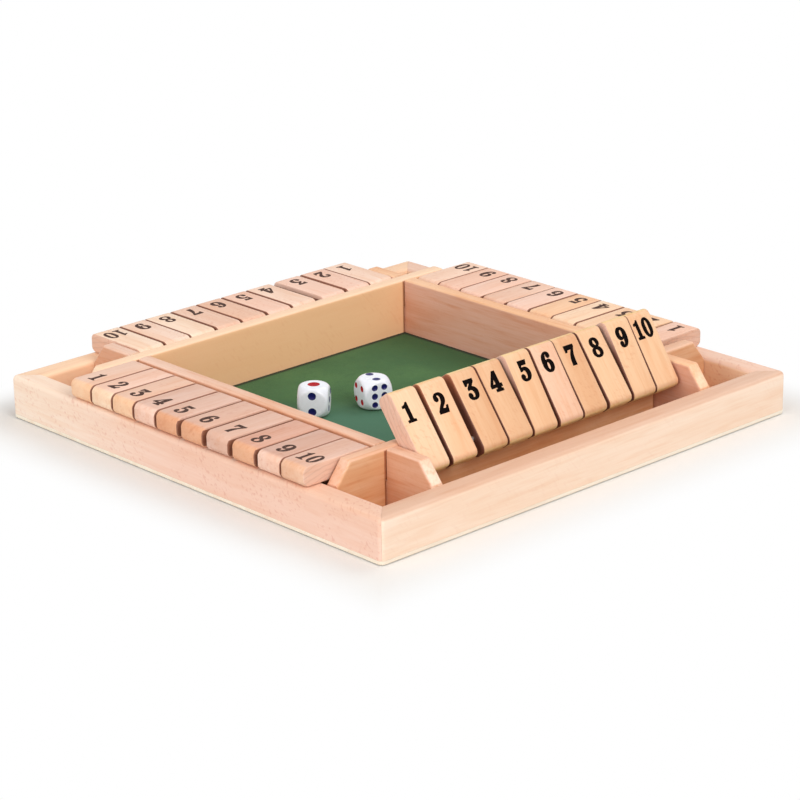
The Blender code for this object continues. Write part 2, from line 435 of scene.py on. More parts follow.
# The figure of the beech, whose first length lies along the grain
BANDS = Pattern((0.11, 0.014, 0.014), 0.32, 0.72)
LINES = Pattern((0.022, 0.0011, 0.0011), 0.35, 0.8, share=0.6, roughness=0.6)
STREAKS = Pattern((0.034, 0.0032, 0.0032), 0.5, 0.72, share=0.7)
FLECKS = Pattern((0.0056, 0.0014, 0.0014), 0.55, 0.73, detail=1, roughness=0.4, tilt=0.9)
PATCHES = Pattern((0.022, 0.022, 0.022), 0.4, 0.6, detail=1)

# What a band and a fleck multiply the tone by
BAND_SHADE = linear(244, 222, 202)
FLECK_SHADE = linear(234, 202, 192)


@dataclass(frozen=True)
class BeechFinish:
    """Lacquered beech: broad bands and fine lines along the grain, with short darker flecks.

    A span gives where a tone sets in and where it is whole.

    Attributes:
        name: The material's name.
        face: The tone of the board.
        top: The tone of what faces up, or None for the board's own.
        side: The painted shade of the sawn sides across the board's own X axis, or None.
        open_side: Which of them lies open and is pale.
        proud: A lighter painted shade of the sides further out, where they stand proud, or None.
        rim: Painted light on the sides: how deep below the faces they stay as pale as the faces.
        end: The tone of the free end, or None.
        end_span: Its span along -Y.
        cut: The tone of what is cut across the grain, or None.
        crossing: How far from its middle another board crosses this one, or 0 for none.
        crossing_half: Half of the width that is darkened there by painted shade.
        grain: The axis of the grain.
        seed: Which part of the log the board is cut from.
        lean: How far the board leans back about X, in radians.
        flecks: How dark the flecks are, from 0 to 1.
        bands: How far the bands, lines and streaks depart from the tone, from 0 to 1.
        proud_span: The span along -Y of the lighter painted shade where the sides stand proud.
        half_thickness: Half of the board's thickness, from which the painted light on the sides is
            measured.
        border: How soft the border of the painted light on the sides, or of the painted shade
            beside a crossing, is.
        stain: How strong the painted shade of the corner seam beside a crossing is, from 0 to 1.
        up_span: The top tone's span, by how far up the surface looks.
        cut_span: The cut's span, by the square of how far along the grain it looks.
        side_span: The sides' span, by the square of how far along X it looks.
        open_span: The open side's span, by how far along X it looks.
        heart: Where the log's heart lies, whose rings show on the open side.
        ring_scale: How close those rings are.
        ring_span: Their span, by the wave's height.
        ring_share: How much darker they are, from 0 to 1.
        log_reach: How far apart the boards are cut from the log.
        roughness: The least and the most roughness.
        line_relief: How far the lines stand up.
        fleck_relief: How far the flecks sink in.
        depth: How deep all relief is.
        strength: How much of it shows.
    """

    name: str
    face: Tone
    top: Tone | None = None
    side: Tone | None = None
    open_side: OpenSide = OpenSide.NEITHER
    proud: Tone | None = None
    rim: float = 0.0
    end: Tone | None = None
    end_span: Span = (0.0, 0.0)
    cut: Tone | None = None
    crossing: float = 0.0
    crossing_half: float = 0.0
    grain: Grain = Grain.ALONG_X
    seed: int = 0
    lean: float = 0.0
    flecks: float = 0.5
    bands: float = 0.5
    proud_span: Span = (0.012, 0.034)
    half_thickness: float = 0.00525
    border: float = 0.0003
    stain: float = 0.85
    up_span: Span = (0.15, 0.7)
    cut_span: Span = (0.3, 0.7)
    side_span: Span = (0.08, 0.4)
    open_span: Span = (0.0, 0.1)
    heart: tuple[float, float, float] = (0, -0.014, -0.045)
    ring_scale: float = 120.0
    ring_span: Span = (0.7, 1.0)
    ring_share: float = 0.12
    log_reach: float = 5.0
    roughness: Span = (0.46, 0.62)
    line_relief: float = 0.6
    fleck_relief: float = 0.2
    depth: float = 0.00006
    strength: float = 0.6

    def laid(self, graph: Graph, vector: Wire) -> Wire:
        """Turns a place or normal of the board back to where it would be if the board lay flat."""
        turn = {"Vector": vector, "Rotation": (self.lean, 0, 0)}
        return graph.add("ShaderNodeMapping", None, turn) if self.lean else vector

    def figure(self, graph: Graph, place: Wire, pattern: Pattern, shift: Sequence[float]) -> Wire:
        """The noise of one pattern of the wood's figure.

        Args:
            graph: The material's graph.
            place: The place on the board.
            pattern: The pattern, whose first length lies along the grain.
            shift: How far the pattern is moved.

        Returns:
            The noise, from 0 to 1.
        """
        long, across, thick = pattern.lengths
        if self.grain is Grain.ALONG_Y:
            pattern = replace(pattern, lengths=(across, long, thick))
        return graph.noise(place, pattern, shift)

    def material(self) -> bpy.types.Material:
        """Builds the graph.

        Returns:
            The finished material.
        """
        graph = Graph(bpy.data.materials.new(self.name))
        place = self.laid(graph, graph.place())
        log_part = random.Random(self.seed)
        shift = [log_part.uniform(-self.log_reach, self.log_reach) for _ in range(3)]
        bands, lines, streaks, pores, patches = (
            self.figure(graph, place, pattern, shift)
            for pattern in (BANDS, LINES, STREAKS, FLECKS, PATCHES)
        )
        shown = ((BANDS, bands), (LINES, lines), (STREAKS, streaks))
        flecks = FLECKS.shown(pores) * PATCHES.shown(patches)
        layers = [(pattern.shown(noise, self.bands), BAND_SHADE) for pattern, noise in shown]
        layers.append((flecks * self.flecks, FLECK_SHADE))
        relief = lines * self.line_relief - flecks * self.fleck_relief
        return graph.finish({
            "Base Color": graph.layered(self.board(graph, place), layers, "MULTIPLY"),
            "Roughness": lines.between(*self.roughness),
            "Normal": graph.bumped(relief, self.depth, self.strength),
        })

    def board(self, graph: Graph, place: Wire) -> Wire | Color:
        """The board's colour before its figure.

        Args:
            graph: The material's graph.
            place: The place on the board.

        Returns:
            A colour, or a wire where the tone changes over the piece.
        """
        color: Wire | Color = self.face.linear
        normal = self.laid(graph, graph.normal())
        # Painted shade of the corner seam, on a band beside each crossing.
        if self.crossing:
            away = abs(abs(graph.part(place, self.grain.value)) - self.crossing)
            clear = away.ramp(self.crossing_half - self.border, self.crossing_half)
            color = graph.mix(self.stain - clear * self.stain, color, Tone.RUSSET.linear)
        if self.top:
            share = graph.part(normal, "Z").ramp(*self.up_span)
            color = graph.mix(share, color, self.top.linear)
        if self.end:
            out = -graph.part(place, "Y")
            color = graph.mix(out.ramp(*self.end_span), color, self.end.linear)
        if self.cut:
            along = graph.part(normal, self.grain.value)
            color = graph.mix((along * along).ramp(*self.cut_span), color, self.cut.linear)
        # Painted shade on the sides that face a neighbour; painted light keeps the upper part of a
        # wide gap's side pale.
        if self.side:
            across = graph.part(normal, "X")
            share = (across * across).ramp(*self.side_span)
            if self.rim:
                height = abs(graph.part(place, "Z"))
                low = self.half_thickness - self.rim
                share = share * (-height).ramp(-low, self.border - low)
            color = graph.mix(share, color, self.sawn(graph, place, across))
        return color

    def sawn(self, graph: Graph, place: Wire, across: Wire) -> Wire | Color:
        """The colour of the sawn sides: painted shade, except on the open side.

        Args:
            graph: The material's graph.
            place: The place on the board.
            across: How far along X the surface looks.

        Returns:
            A colour, or a wire where the tone changes over the side.
        """
        color: Wire | Color = self.side.linear
        if self.proud:
            out = (-graph.part(place, "Y")).ramp(*self.proud_span)
            color = graph.mix(out, color, self.proud.linear)
        if self.open_side is not OpenSide.NEITHER:
            share = (across * self.open_side.value).ramp(*self.open_span)
            color = graph.mix(share, color, self.rings(graph, place))
        return color

    def rings(self, graph: Graph, place: Wire) -> Wire:
        """The pale open side, with faint growth rings.

        Args:
            graph: The material's graph.
            place: The place on the board.

        Returns:
            Its colour.
        """
        settings = {"wave_type": "RINGS", "rings_direction": "X"}
        inputs = {
            "Vector": graph.mapped(place, (1, 1, 1), self.heart),
            "Scale": self.ring_scale,
            "Distortion": 2.5,
            "Detail": 1.0,
        }
        wave = graph.add("ShaderNodeTexWave", settings, inputs, "Fac")
        share = wave.ramp(*self.ring_span) * self.ring_share
        return graph.mix(share, Tone.SAWN.linear, Tone.UMBER.linear)


@dataclass(frozen=True)
class InkFinish:
    """The print of the numerals, worn a little by thumbs.

    Attributes:
        name: The material's name.
        full: The screen colour of the full print.
        worn: The screen colour where it is worn.
        wear: The pattern of the wear.
        roughness: The least and the most roughness.
        sheen: How strongly it mirrors, 0.5 being usual.
    """

    name: str
    full: Screen
    worn: Screen
    wear: Pattern = Pattern((0.0011, 0.0011, 0.0011), 0.5, 0.85)
    roughness: Span = (0.7, 0.9)
    sheen: float = 0.05

    def material(self) -> bpy.types.Material:
        """Builds the graph.

        Returns:
            The finished material.
        """
        graph = Graph(bpy.data.materials.new(self.name))
        wear = graph.noise(graph.place(), self.wear)
        return graph.finish({
            "Base Color": graph.mix(self.wear.shown(wear), linear(*self.full), linear(*self.worn)),
            "Roughness": wear.between(*self.roughness),
            "Specular IOR Level": self.sheen,
        })


@dataclass(frozen=True)
class PlywoodFinish:
    """The thin pale panel under the tray: a birch face, and lighter plies along its edge.

    Attributes:
        name: The material's name.
        edge: The screen colour of its edge.
        vein: That of the edge's figure.
        ply: That of the darker plies.
        face: That of its upper face, which shows in the troughs and corner wells: its own birch,
            darkened further as painted shade there.
        figure: The pattern of the figure.
        plies: The pattern of the plies.
        up_span: How far up the surface looks where the face's colour sets in and is whole.
        roughness: The least and the most roughness.
        depth: How deep the figure is.
        strength: How much of that shows.
    """

    name: str = "base_plywood"
    edge: Screen = (255, 244, 224)
    vein: Screen = (250, 230, 206)
    ply: Screen = (224, 196, 168)
    face: Screen = (196, 160, 126)
    figure: Pattern = Pattern((0.08, 0.006, 0.025), 0.3, 0.75, detail=3)
    plies: Pattern = Pattern((0.03, 0.03, 0.0006), 0.55, 0.75, share=0.3, detail=1)
    up_span: Span = (0.5, 0.9)
    roughness: Span = (0.55, 0.7)
    depth: float = 0.00005
    strength: float = 0.5

    def material(self) -> bpy.types.Material:
        """Builds the graph.

        Returns:
            The finished material.
        """
        graph = Graph(bpy.data.materials.new(self.name))
        place = graph.place()
        plies, figure = (graph.noise(place, pattern) for pattern in (self.plies, self.figure))
        color = graph.layered(linear(*self.edge), [
            (self.figure.shown(figure), linear(*self.vein)),
            (self.plies.shown(plies), linear(*self.ply)),
            # The upper face: its birch, darkened as painted shade for the troughs and wells.
            (graph.part(graph.normal(), "Z").ramp(*self.up_span), linear(*self.face)),
        ])
        return graph.finish({
            "Base Color": color,
            "Roughness": figure.between(*self.roughness),
            "Normal": graph.bumped(figure, self.depth, self.strength),
        })


@dataclass(frozen=True)
class FeltFinish:
    """Short-napped green felt: matted fibres, patches where the nap lies over, and painted sheen,
    shade and edge shadow.

    Attributes:
        half: Half of the sheet's width.
        name: The material's name.
        nap: The screen colour of the nap.
        brushed: That of the nap where it lies over.
        deep: That between the tufts.
        fibre: That of single fibres.
        lit: A painted sheen on the side towards -X and -Y, where the light lies along the nap.
        dim: A painted shade on the side towards +X.
        cut: That of a painted shadow along the edge, where the felt meets the walls.
        patches: The pattern of the nap that lies over.
        tufts: The pattern of the tufts.
        fibres: The pattern of the fibres.
        lit_span: Where the painted sheen sets in and is whole.
        lit_share: How much of it shows.
        dim_span: Where the painted shade sets in and is whole.
        dim_share: How much of it shows.
        cut_span: How far in from the edge the painted edge shadow sets in and is whole.
        cut_share: How much of it shows.
        roughness: The least and the most roughness.
        fibre_relief: The fibres' share of the relief.
        tuft_relief: The tufts' share of it.
        depth: How deep the nap is.
        strength: How much of that shows.
    """

    half: float
    name: str = "green_felt"
    nap: Screen = (57, 95, 54)
    brushed: Screen = (73, 111, 62)
    deep: Screen = (52, 86, 52)
    fibre: Screen = (104, 142, 98)
    lit: Screen = (76, 120, 97)
    dim: Screen = (46, 80, 40)
    cut: Screen = (26, 32, 12)
    patches: Pattern = Pattern((0.045, 0.045, 0.045), 0.3, 0.7)
    tufts: Pattern = Pattern((0.0038, 0.0038, 0.0038), 0.4, 0.8, share=0.35)
    fibres: Pattern = Pattern(
        (0.0007, 0.0007, 0.0007), 0.5, 0.75, share=0.4, detail=3, roughness=0.65
    )
    lit_span: Span = (-0.03, 0.02)
    lit_share: float = 0.8
    dim_span: Span = (0.045, 0.09)
    dim_share: float = 0.75
    cut_span: Span = (0.0036, 0.0018)
    cut_share: float = 0.9
    roughness: Span = (0.92, 1.0)
    fibre_relief: float = 0.7
    tuft_relief: float = 0.3
    depth: float = 0.0004
    strength: float = 0.6

    def material(self) -> bpy.types.Material:
        """Builds the graph.

        Returns:
            The finished material.
        """
        graph = Graph(bpy.data.materials.new(self.name))
        place = graph.place()
        right, back = (graph.part(place, axis) for axis in "XY")
        fibres, tufts, patches = (
            graph.noise(place, pattern) for pattern in (self.fibres, self.tufts, self.patches)
        )
        # Painted shadow along the felt's edge, where it meets the walls.
        edge = graph.spread(place).ramp(*(self.half - inward for inward in self.cut_span))
        color = graph.layered(linear(*self.nap), [
            (self.patches.shown(patches), linear(*self.brushed)),
            (self.tufts.shown(tufts), linear(*self.deep)),
            (self.fibres.shown(fibres), linear(*self.fibre)),
            # Painted sheen towards -X and -Y, painted shade towards +X, then the painted edge
            # shadow.
            ((-right - back).ramp(*self.lit_span) * self.lit_share, linear(*self.lit)),
            (right.ramp(*self.dim_span) * self.dim_share, linear(*self.dim)),
            (edge * self.cut_share, linear(*self.cut)),
        ])
        relief = fibres * self.fibre_relief + tufts * self.tuft_relief
        return graph.finish({
            "Base Color": color,
            "Roughness": fibres.between(*self.roughness),
            "Normal": graph.bumped(relief, self.depth, self.strength),
        })


@dataclass(frozen=True)
class SteelFinish:
    """Drawn steel rod, with fine rings left by the drawing.

    Attributes:
        name: The material's name.
        dark: The screen colour between the rings.
        bright: That of the rings.
        rings: The pattern of the rings.
        roughness: The least and the most roughness.
    """

    name: str = "rod_steel"
    dark: Screen = (228, 228, 232)
    bright: Screen = (248, 248, 250)
    rings: Pattern = Pattern((0.0011, 0.0011, 0.016))
    roughness: Span = (0.34, 0.54)

    def material(self) -> bpy.types.Material:
        """Builds the graph.

        Returns:
            The finished material.
        """
        graph = Graph(bpy.data.materials.new(self.name))
        rings = graph.noise(graph.place(), self.rings)
        return graph.finish({
            "Base Color": graph.mix(rings, linear(*self.dark), linear(*self.bright)),
            "Metallic": 1.0,
            "Roughness": rings.between(*self.roughness),
        })


@dataclass(frozen=True)
class DieFinish:
    """Moulded plastic of a die: its body, or the paint in its pips.

    Attributes:
        name: The material's name.
        color: The screen colour.
        roughness: How dull the surface is at the least.
        sheen: How strongly it mirrors, 0.5 being usual.
        cloud: The pattern of its faint clouds.
        cloud_shade: How bright a cloud is, as a share of the colour.
        cloud_dull: How much duller it is.
    """

    name: str
    color: Screen
    roughness: float
    sheen: float = 0.5
    cloud: Pattern = Pattern((0.0025, 0.0025, 0.0025), 0.3, 0.8)
    cloud_shade: float = 0.97
    cloud_dull: float = 0.12

    def material(self) -> bpy.types.Material:
        """Builds the graph.

        Returns:
            The finished material.
        """
        graph = Graph(bpy.data.materials.new(self.name))
        cloud = graph.noise(graph.place(), self.cloud)
        deep = linear(*(self.cloud_shade * value for value in self.color))
        return graph.finish({
            "Base Color": graph.mix(self.cloud.shown(cloud), linear(*self.color), deep),
            "Roughness": self.roughness + cloud * self.cloud_dull,
            "Specular IOR Level": self.sheen,
        })


# Meshes

SQUARE_EDGE = math.radians(60)  # The least angle between the two faces at a board's square edge
SAME_POINT = 1e-6  # Points closer than this are one, in metres

# These stand up a board that was outlined in XY and raised along Z, to face along X or Y
FACING_X = Matrix(((0, 0, 1, 0), (1, 0, 0, 0), (0, 1, 0, 0), (0, 0, 0, 1)))
FACING_Y = Matrix(((1, 0, 0, 0), (0, 0, -1, 0), (0, 1, 0, 0), (0, 0, 0, 1)))


def mesh_of(name: str, shape: bmesh.types.BMesh) -> bpy.types.Mesh:
    """Turns a bmesh into a mesh and frees it.

    Args:
        name: The mesh's name.
        shape: The bmesh.

    Returns:
        The mesh.
    """
    mesh = bpy.data.meshes.new(name)
    bmesh.ops.recalc_face_normals(shape, faces=shape.faces)
    shape.to_mesh(mesh)
    shape.free()
    return mesh


def piece(
    name: str, mesh: bpy.types.Mesh, materials: Iterable[bpy.types.Material] = ()
) -> bpy.types.Object:
    """A piece of the game, or a tool for one, linked to the scene.

    Args:
        name: The piece's name.
        mesh: Its mesh.
        materials: Its materials in slot order, for a mesh that has none.

    Returns:
        The object.
    """
    if not mesh.materials:
        for material in materials:
            mesh.materials.append(material)
    thing = bpy.data.objects.new(name, mesh)
    bpy.context.scene.collection.objects.link(thing)
    return thing


def cut_by(thing: bpy.types.Object, cutter: bpy.types.Object) -> None:
    """Takes a cutter's shape out of an object, by a modifier that is still to be applied.

    Args:
        thing: The object.
        cutter: The cutter.
    """
    modifier = thing.modifiers.new(cutter.name, "BOOLEAN")
    modifier.object = cutter
    modifier.operation = "DIFFERENCE"
    modifier.solver = "EXACT"


def applied(thing: bpy.types.Object) -> bpy.types.Mesh:
    """The mesh of an object with its modifiers applied. The object goes.

    Args:
        thing: The object, which is removed.

    Returns:
        The new mesh.
    """
    bpy.context.view_layer.update()
    graph = bpy.context.evaluated_depsgraph_get()
    mesh = bpy.data.meshes.new_from_object(thing.evaluated_get(graph))
    bpy.data.objects.remove(thing, do_unlink=True)
    return mesh


def smoothed(mesh: bpy.types.Mesh, crisp: float = 35.0) -> bpy.types.Mesh:
    """Smooth shading, with edges sharper than the angle left crisp.

    Args:
        mesh: The mesh.
        crisp: The angle in degrees.

    Returns:
        The same mesh.
    """
    mesh.shade_smooth()
    mesh.set_sharp_from_angle(angle=math.radians(crisp))
    return mesh


def prism(outline: Outline, low: float, high: float) -> bmesh.types.BMesh:
    """A flat outline in the XY plane, drawn up from one height to another.

    Args:
        outline: The outline's points, anticlockwise.
        low: The lower height.
        high: The upper height.

    Returns:
        The closed shape.
    """
    shape = bmesh.new()
    face = shape.faces.new([shape.verts.new((x, y, low)) for x, y in outline])
    drawn = bmesh.ops.extrude_face_region(shape, geom=[face])
    top = [item for item in drawn["geom"] if isinstance(item, bmesh.types.BMVert)]
    bmesh.ops.translate(shape, verts=top, vec=(0, 0, high - low))
    return shape


def bow(centre: Point, radius: float, start: float, stop: float, steps: int) -> Outline:
    """Points of an arc.

    Args:
        centre: The arc's centre.
        radius: Its radius.
        start: The angle it begins at, in degrees.
        stop: The angle it ends at, in degrees.
        steps: How many chords it has.

    Returns:
        Its points in order.
    """
    x, y = centre
    angles = [math.radians(start + (stop - start) * step / steps) for step in range(steps + 1)]
    return [(x + radius * math.cos(a), y + radius * math.sin(a)) for a in angles]


def eased(
    shape: bmesh.types.BMesh,
    radius: float,
    steps: int,
    chosen: Callable[[Vector, Vector, float], bool],
) -> None:
    """Rounds the edges that a test chooses.

    Args:
        shape: The shape, changed in place.
        radius: The rounding's radius.
        steps: Its chords.
        chosen: Takes an edge's two ends and the angle between its faces.
    """
    edges = [
        edge
        for edge in shape.edges
        if len(edge.link_faces) == 2
        and chosen(edge.verts[0].co, edge.verts[1].co, edge.calc_face_angle())
    ]
    bmesh.ops.bevel(
        shape,
        geom=edges,
        offset=radius,
        segments=steps,
        profile=0.5,
        affect="EDGES",
        clamp_overlap=True,
    )


def drilled(
    mesh: bpy.types.Mesh, radius: float, holes: Iterable[tuple[Vector, Vector]], sides: int = 24
) -> bpy.types.Mesh:
    """Drills round holes.

    Args:
        mesh: The mesh, which is used up.
        radius: The holes' radius.
        holes: The two ends of each hole's axis.
        sides: How many sides a hole has.

    Returns:
        The drilled mesh.
    """
    shape = bmesh.new()
    for start, stop in holes:
        axis = stop - start
        turn = axis.to_track_quat("Z", "Y").to_matrix().to_4x4()
        bmesh.ops.create_cone(
            shape,
            cap_ends=True,
            segments=sides,
            radius1=radius,
            radius2=radius,
            depth=axis.length,
            matrix=Matrix.Translation((start + stop) / 2) @ turn,
        )
    drill = piece("drill", mesh_of("drill", shape))
    blank = piece("blank", mesh)
    cut_by(blank, drill)
    result = applied(blank)
    bpy.data.objects.remove(drill, do_unlink=True)
    return result


# Numerals

# Each digit's closed loops on a grid 100 high: x and y of each point, and SHARP at a sharp turn
SHARP = True
DIGIT_LOOPS: dict[str, list[list[tuple[float, ...]]]] = {
    "0": [
        [(30, 0), (52, 14), (60, 50), (52, 86), (30, 100), (8, 86), (0, 50), (8, 14)],
        [(30, 8), (20, 22), (18, 50), (20, 78), (30, 92), (40, 78), (42, 50), (40, 22)],
    ],
    "1": [
        [(9, 2, SHARP), (51, 2, SHARP), (51, 8, SHARP), (41, 10, SHARP), (38, 15, SHARP),
         (38, 98, SHARP), (33, 98, SHARP), (26, 89), (9, 82, SHARP), (9, 76, SHARP),
         (22, 78, SHARP), (22, 15, SHARP), (19, 10, SHARP), (9, 8, SHARP)],
    ],
    "2": [
        [(3, 0, SHARP), (53, 0, SHARP), (60, 30, SHARP), (54, 30, SHARP), (49, 19),
         (24, 20, SHARP), (36, 34), (52, 52), (58, 72), (50, 93), (30, 100), (10, 93), (3, 76),
         (7, 65), (16, 63), (23, 70), (21, 80), (19, 88), (28, 93), (37, 86), (39, 70), (33, 50),
         (18, 30), (3, 8, SHARP)],
    ],
    "3": [
        [(5, 100, SHARP), (55, 100, SHARP), (55, 90, SHARP), (32, 62, SHARP), (46, 59), (58, 46),
         (60, 28), (51, 8), (28, 0), (9, 6), (2, 20), (7, 31), (17, 31), (22, 22), (20, 12),
         (28, 7), (38, 13), (41, 29), (36, 46), (24, 52), (14, 51, SHARP), (14, 58, SHARP),
         (38, 85, SHARP), (18, 85, SHARP), (12, 74, SHARP), (5, 74, SHARP)],
    ],
    "4": [
        [(22, 0, SHARP), (60, 0, SHARP), (60, 7, SHARP), (52, 9, SHARP), (52, 22, SHARP),
         (63, 22, SHARP), (63, 33, SHARP), (52, 33, SHARP), (52, 100, SHARP), (38, 100, SHARP),
         (0, 33, SHARP), (0, 22, SHARP), (33, 22, SHARP), (33, 9, SHARP), (22, 7, SHARP)],
        [(33, 33, SHARP), (10, 33, SHARP), (33, 75, SHARP)],
    ],
    "5": [
        [(10, 100, SHARP), (54, 100, SHARP), (50, 82, SHARP), (19, 82, SHARP), (18, 63, SHARP),
         (32, 66), (51, 58), (60, 34), (51, 9), (28, 0), (9, 6), (2, 20), (7, 31), (17, 31),
         (22, 22), (20, 12), (28, 7), (38, 14), (41, 33), (36, 51), (27, 56), (17, 51, SHARP),
         (11, 51, SHARP)],
    ],
    "6": [
        [(31, 0), (52, 8), (60, 31), (53, 54), (37, 61), (22, 54, SHARP), (25, 80), (33, 93),
         (39, 90), (37, 83), (40, 74), (50, 73), (55, 82), (50, 95), (35, 100), (13, 88), (2, 50),
         (9, 12)],
        [(31, 8), (23, 16), (21, 31), (24, 46), (31, 53), (39, 46), (42, 31), (39, 16)],
    ],
    "7": [
        [(5, 100, SHARP), (60, 100, SHARP), (60, 92, SHARP), (47, 66), (40, 36), (38, 0, SHARP),
         (17, 0, SHARP), (22, 36), (45, 82, SHARP), (17, 82, SHARP), (11, 70, SHARP),
         (5, 70, SHARP)],
    ],
    "8": [
        [(31, 0), (52, 7), (60, 26), (53, 45), (43, 53), (53, 62), (57, 77), (49, 94), (31, 100),
         (13, 94), (5, 77), (9, 61), (17, 50), (7, 42), (2, 25), (10, 7)],
        [(38, 58), (24, 67), (21, 78), (31, 93), (41, 78)],
        [(31, 7), (18, 15), (18, 30), (24, 43), (42, 30), (43, 16)],
    ],
}
DIGIT_HEIGHT = 100.0
DIGIT_WIDTH = 61.0
DIGIT_LOOPS["9"] = [
    [(DIGIT_WIDTH - x, DIGIT_HEIGHT - y, *sharp) for x, y, *sharp in loop]
    for loop in DIGIT_LOOPS["6"]
]


@dataclass
class Numerals:
    """The printed numbers: a bold slab-footed digit, narrower where two stand side by side.

    Attributes:
        height: A digit's height in metres.
        film: Half of the print's thickness in metres.
        weight: How much bolder than its loops a digit is, in metres.
        spread: How much wider than its loops a single digit is.
        pair_squeeze: How wide each of two digits is, as a share of its loops.
        pair_gap: The gap between two digits, on the loops' grid.
        curve_steps: How many chords a rounded stretch has.
        made: The meshes made so far.
    """

    height: float = 0.0103
    film: float = 0.00006
    weight: float = 0.00042
    spread: float = 1.08
    pair_squeeze: float = 0.94
    pair_gap: float = 6.0
    curve_steps: int = 5
    made: dict[str, bpy.types.Mesh] = field(default_factory=dict)

    def digits(self, text: str) -> list[tuple[str, float, float]]:
        """Where each digit of a number goes.

        Args:
            text: The number.

        Returns:
            Each digit with its left edge and its squeeze.
        """
        if len(text) == 1:
            return [(text, -DIGIT_WIDTH * self.spread / 2, self.spread)]
        squeeze = self.pair_squeeze
        return [(text[0], -DIGIT_WIDTH * squeeze, squeeze), (text[1], self.pair_gap, squeeze)]

    def mesh(self, text: str) -> bpy.types.Mesh:
        """A number lying in the XY plane, its middle at the origin and its top towards +Y.

        Args:
            text: The number.

        Returns:
            The thin closed mesh, made once for each number.
        """
        if text in self.made:
            return self.made[text]
        curve = bpy.data.curves.new(f"numeral_{text}", "CURVE")
        curve.dimensions = "2D"
        curve.fill_mode = "BOTH"
        curve.extrude = self.film
        curve.offset = self.weight
        curve.resolution_u = self.curve_steps
        unit = self.height / DIGIT_HEIGHT
        for digit, left, squeeze in self.digits(text):
            for loop in DIGIT_LOOPS[digit]:
                spline = curve.splines.new("BEZIER")
                spline.bezier_points.add(len(loop) - 1)
                spline.use_cyclic_u = True
                for point, (x, y, *sharp) in zip(spline.bezier_points, loop):
                    point.co = ((left + x * squeeze) * unit, (y - DIGIT_HEIGHT / 2) * unit, 0)
                    kind = "VECTOR" if sharp else "AUTO"
                    point.handle_left_type = point.handle_right_type = kind
        thing = bpy.data.objects.new(curve.name, curve)
        bpy.context.scene.collection.objects.link(thing)
        self.made[text] = applied(thing)
        bpy.data.curves.remove(curve)
        return self.made[text]


# Tiles


class Row(Enum):
    """The four rows, named after the tray's sides."""

    SOUTH = "south"
    EAST = "east"
    NORTH = "north"
    WEST = "west"

    @property
    def turn(self) -> Matrix:
        """The turn from the south row to this one."""
        return Matrix.Rotation(math.radians(ROW_TURN[self]), 4, "Z")

    @property
    def over(self) -> bool:
        """Whether the row's wall lies over the ones it crosses."""
        return self in (Row.SOUTH, Row.NORTH)

    @property
    def grain(self) -> Grain:
        """The axis of the grain of the row's rail and wall."""
        return Grain.ALONG_X if self.over else Grain.ALONG_Y


def tones(names: str) -> tuple[Tone, ...]:
    """The tones named in a line."""
    return tuple(Tone[name] for name in names.split())


ROW_TURN: dict[Row, float] = {Row.SOUTH: 0.0, Row.EAST: 90.0, Row.NORTH: 180.0, Row.WEST: -90.0}

# The tones of each rail's face and top
RAIL_TONES: dict[Row, tuple[Tone, ...]] = {
    Row.SOUTH: tones("IVORY DUN"),
    Row.EAST: tones("PALE LINEN"),
    Row.NORTH: tones("PALE PALE"),
    Row.WEST: tones("ROSE LINEN"),
}

# The tones of each inner wall's faces, top and sloping ends
WALL_TONES: dict[Row, tuple[Tone, ...]] = {
    Row.SOUTH: tones("OCHRE SAND LINEN"),
    Row.EAST: tones("CLAY PEACH CREAM"),
    Row.NORTH: tones("STRAW PALE CREAM"),
    Row.WEST: tones("CEDAR LINEN IVORY"),
}

# The tone of each tile from 1 to 10, and of its free end where that differs
FACE_TONES: dict[Row, tuple[Tone, ...]] = {
    Row.SOUTH: tones("PEACH PEACH TOFFEE TOFFEE BISCUIT SAND TOFFEE BISCUIT BISCUIT BISCUIT"),
    Row.EAST: tones("ROSE PALE PALE CREAM PEACH ROSE LINEN ROSE ROSE SHELL"),
    Row.NORTH: tones("SHELL ROSE ROSE SHELL ROSE LINEN LINEN IVORY SHELL IVORY"),
    Row.WEST: tones("LINEN ROSE LINEN BLUSH BLUSH BLUSH BLUSH CLAY DUSK BLUSH"),
}
END_TONES: dict[Row, tuple[Tone, ...]] = {
    Row.WEST: tones("PEACH CREAM PEACH ROSE AMBER AMBER BLUSH AMBER ROSE SAND"),
}

# How far painted light reaches down the side of a tile that stands well apart from the next one
GAP_RIMS: dict[Row, dict[int, float]] = {
    Row.SOUTH: {},
    Row.EAST: {2: 0.0008, 7: 0.0005, 8: 0.0006},
    Row.NORTH: {3: 0.0024},
    Row.WEST: {5: 0.0010, 6: 0.0010, 7: 0.0010, 8: 0.0007},
}

# The lighter painted shade of a raised tile's side near its free end, where it stands proud of the
# next one
PROUD_TONES = {2: Tone.RUSSET, 3: Tone.RUSSET, 5: Tone.MAUVE, 9: Tone.MAUVE}

# How dark each rail's flecks are, and how far each wall's figure departs from its tone
RAIL_FLECKS = {Row.SOUTH: 0.1, Row.EAST: 0.5, Row.NORTH: 0.5, Row.WEST: 0.5}
WALL_BANDS = {Row.SOUTH: 0.9, Row.EAST: 0.9, Row.NORTH: 0.1, Row.WEST: 0.9}

# Which side of the first and the last tile lies open
OPEN_SIDES = {1: OpenSide.LEFT, 10: OpenSide.RIGHT}

# Where the south row's numbers are printed: how far right of the middle and in from the free end
SOUTH_PRINTS: tuple[Point, ...] = (
    (-0.0022, 0.0127), (-0.0003, 0.0134), (0.0006, 0.0120), (-0.0009, 0.0120), (0.0007, 0.0114),
    (-0.0005, 0.0110), (-0.0002, 0.0116), (-0.0002, 0.0119), (-0.0003, 0.0110), (-0.0012, 0.0103),
)


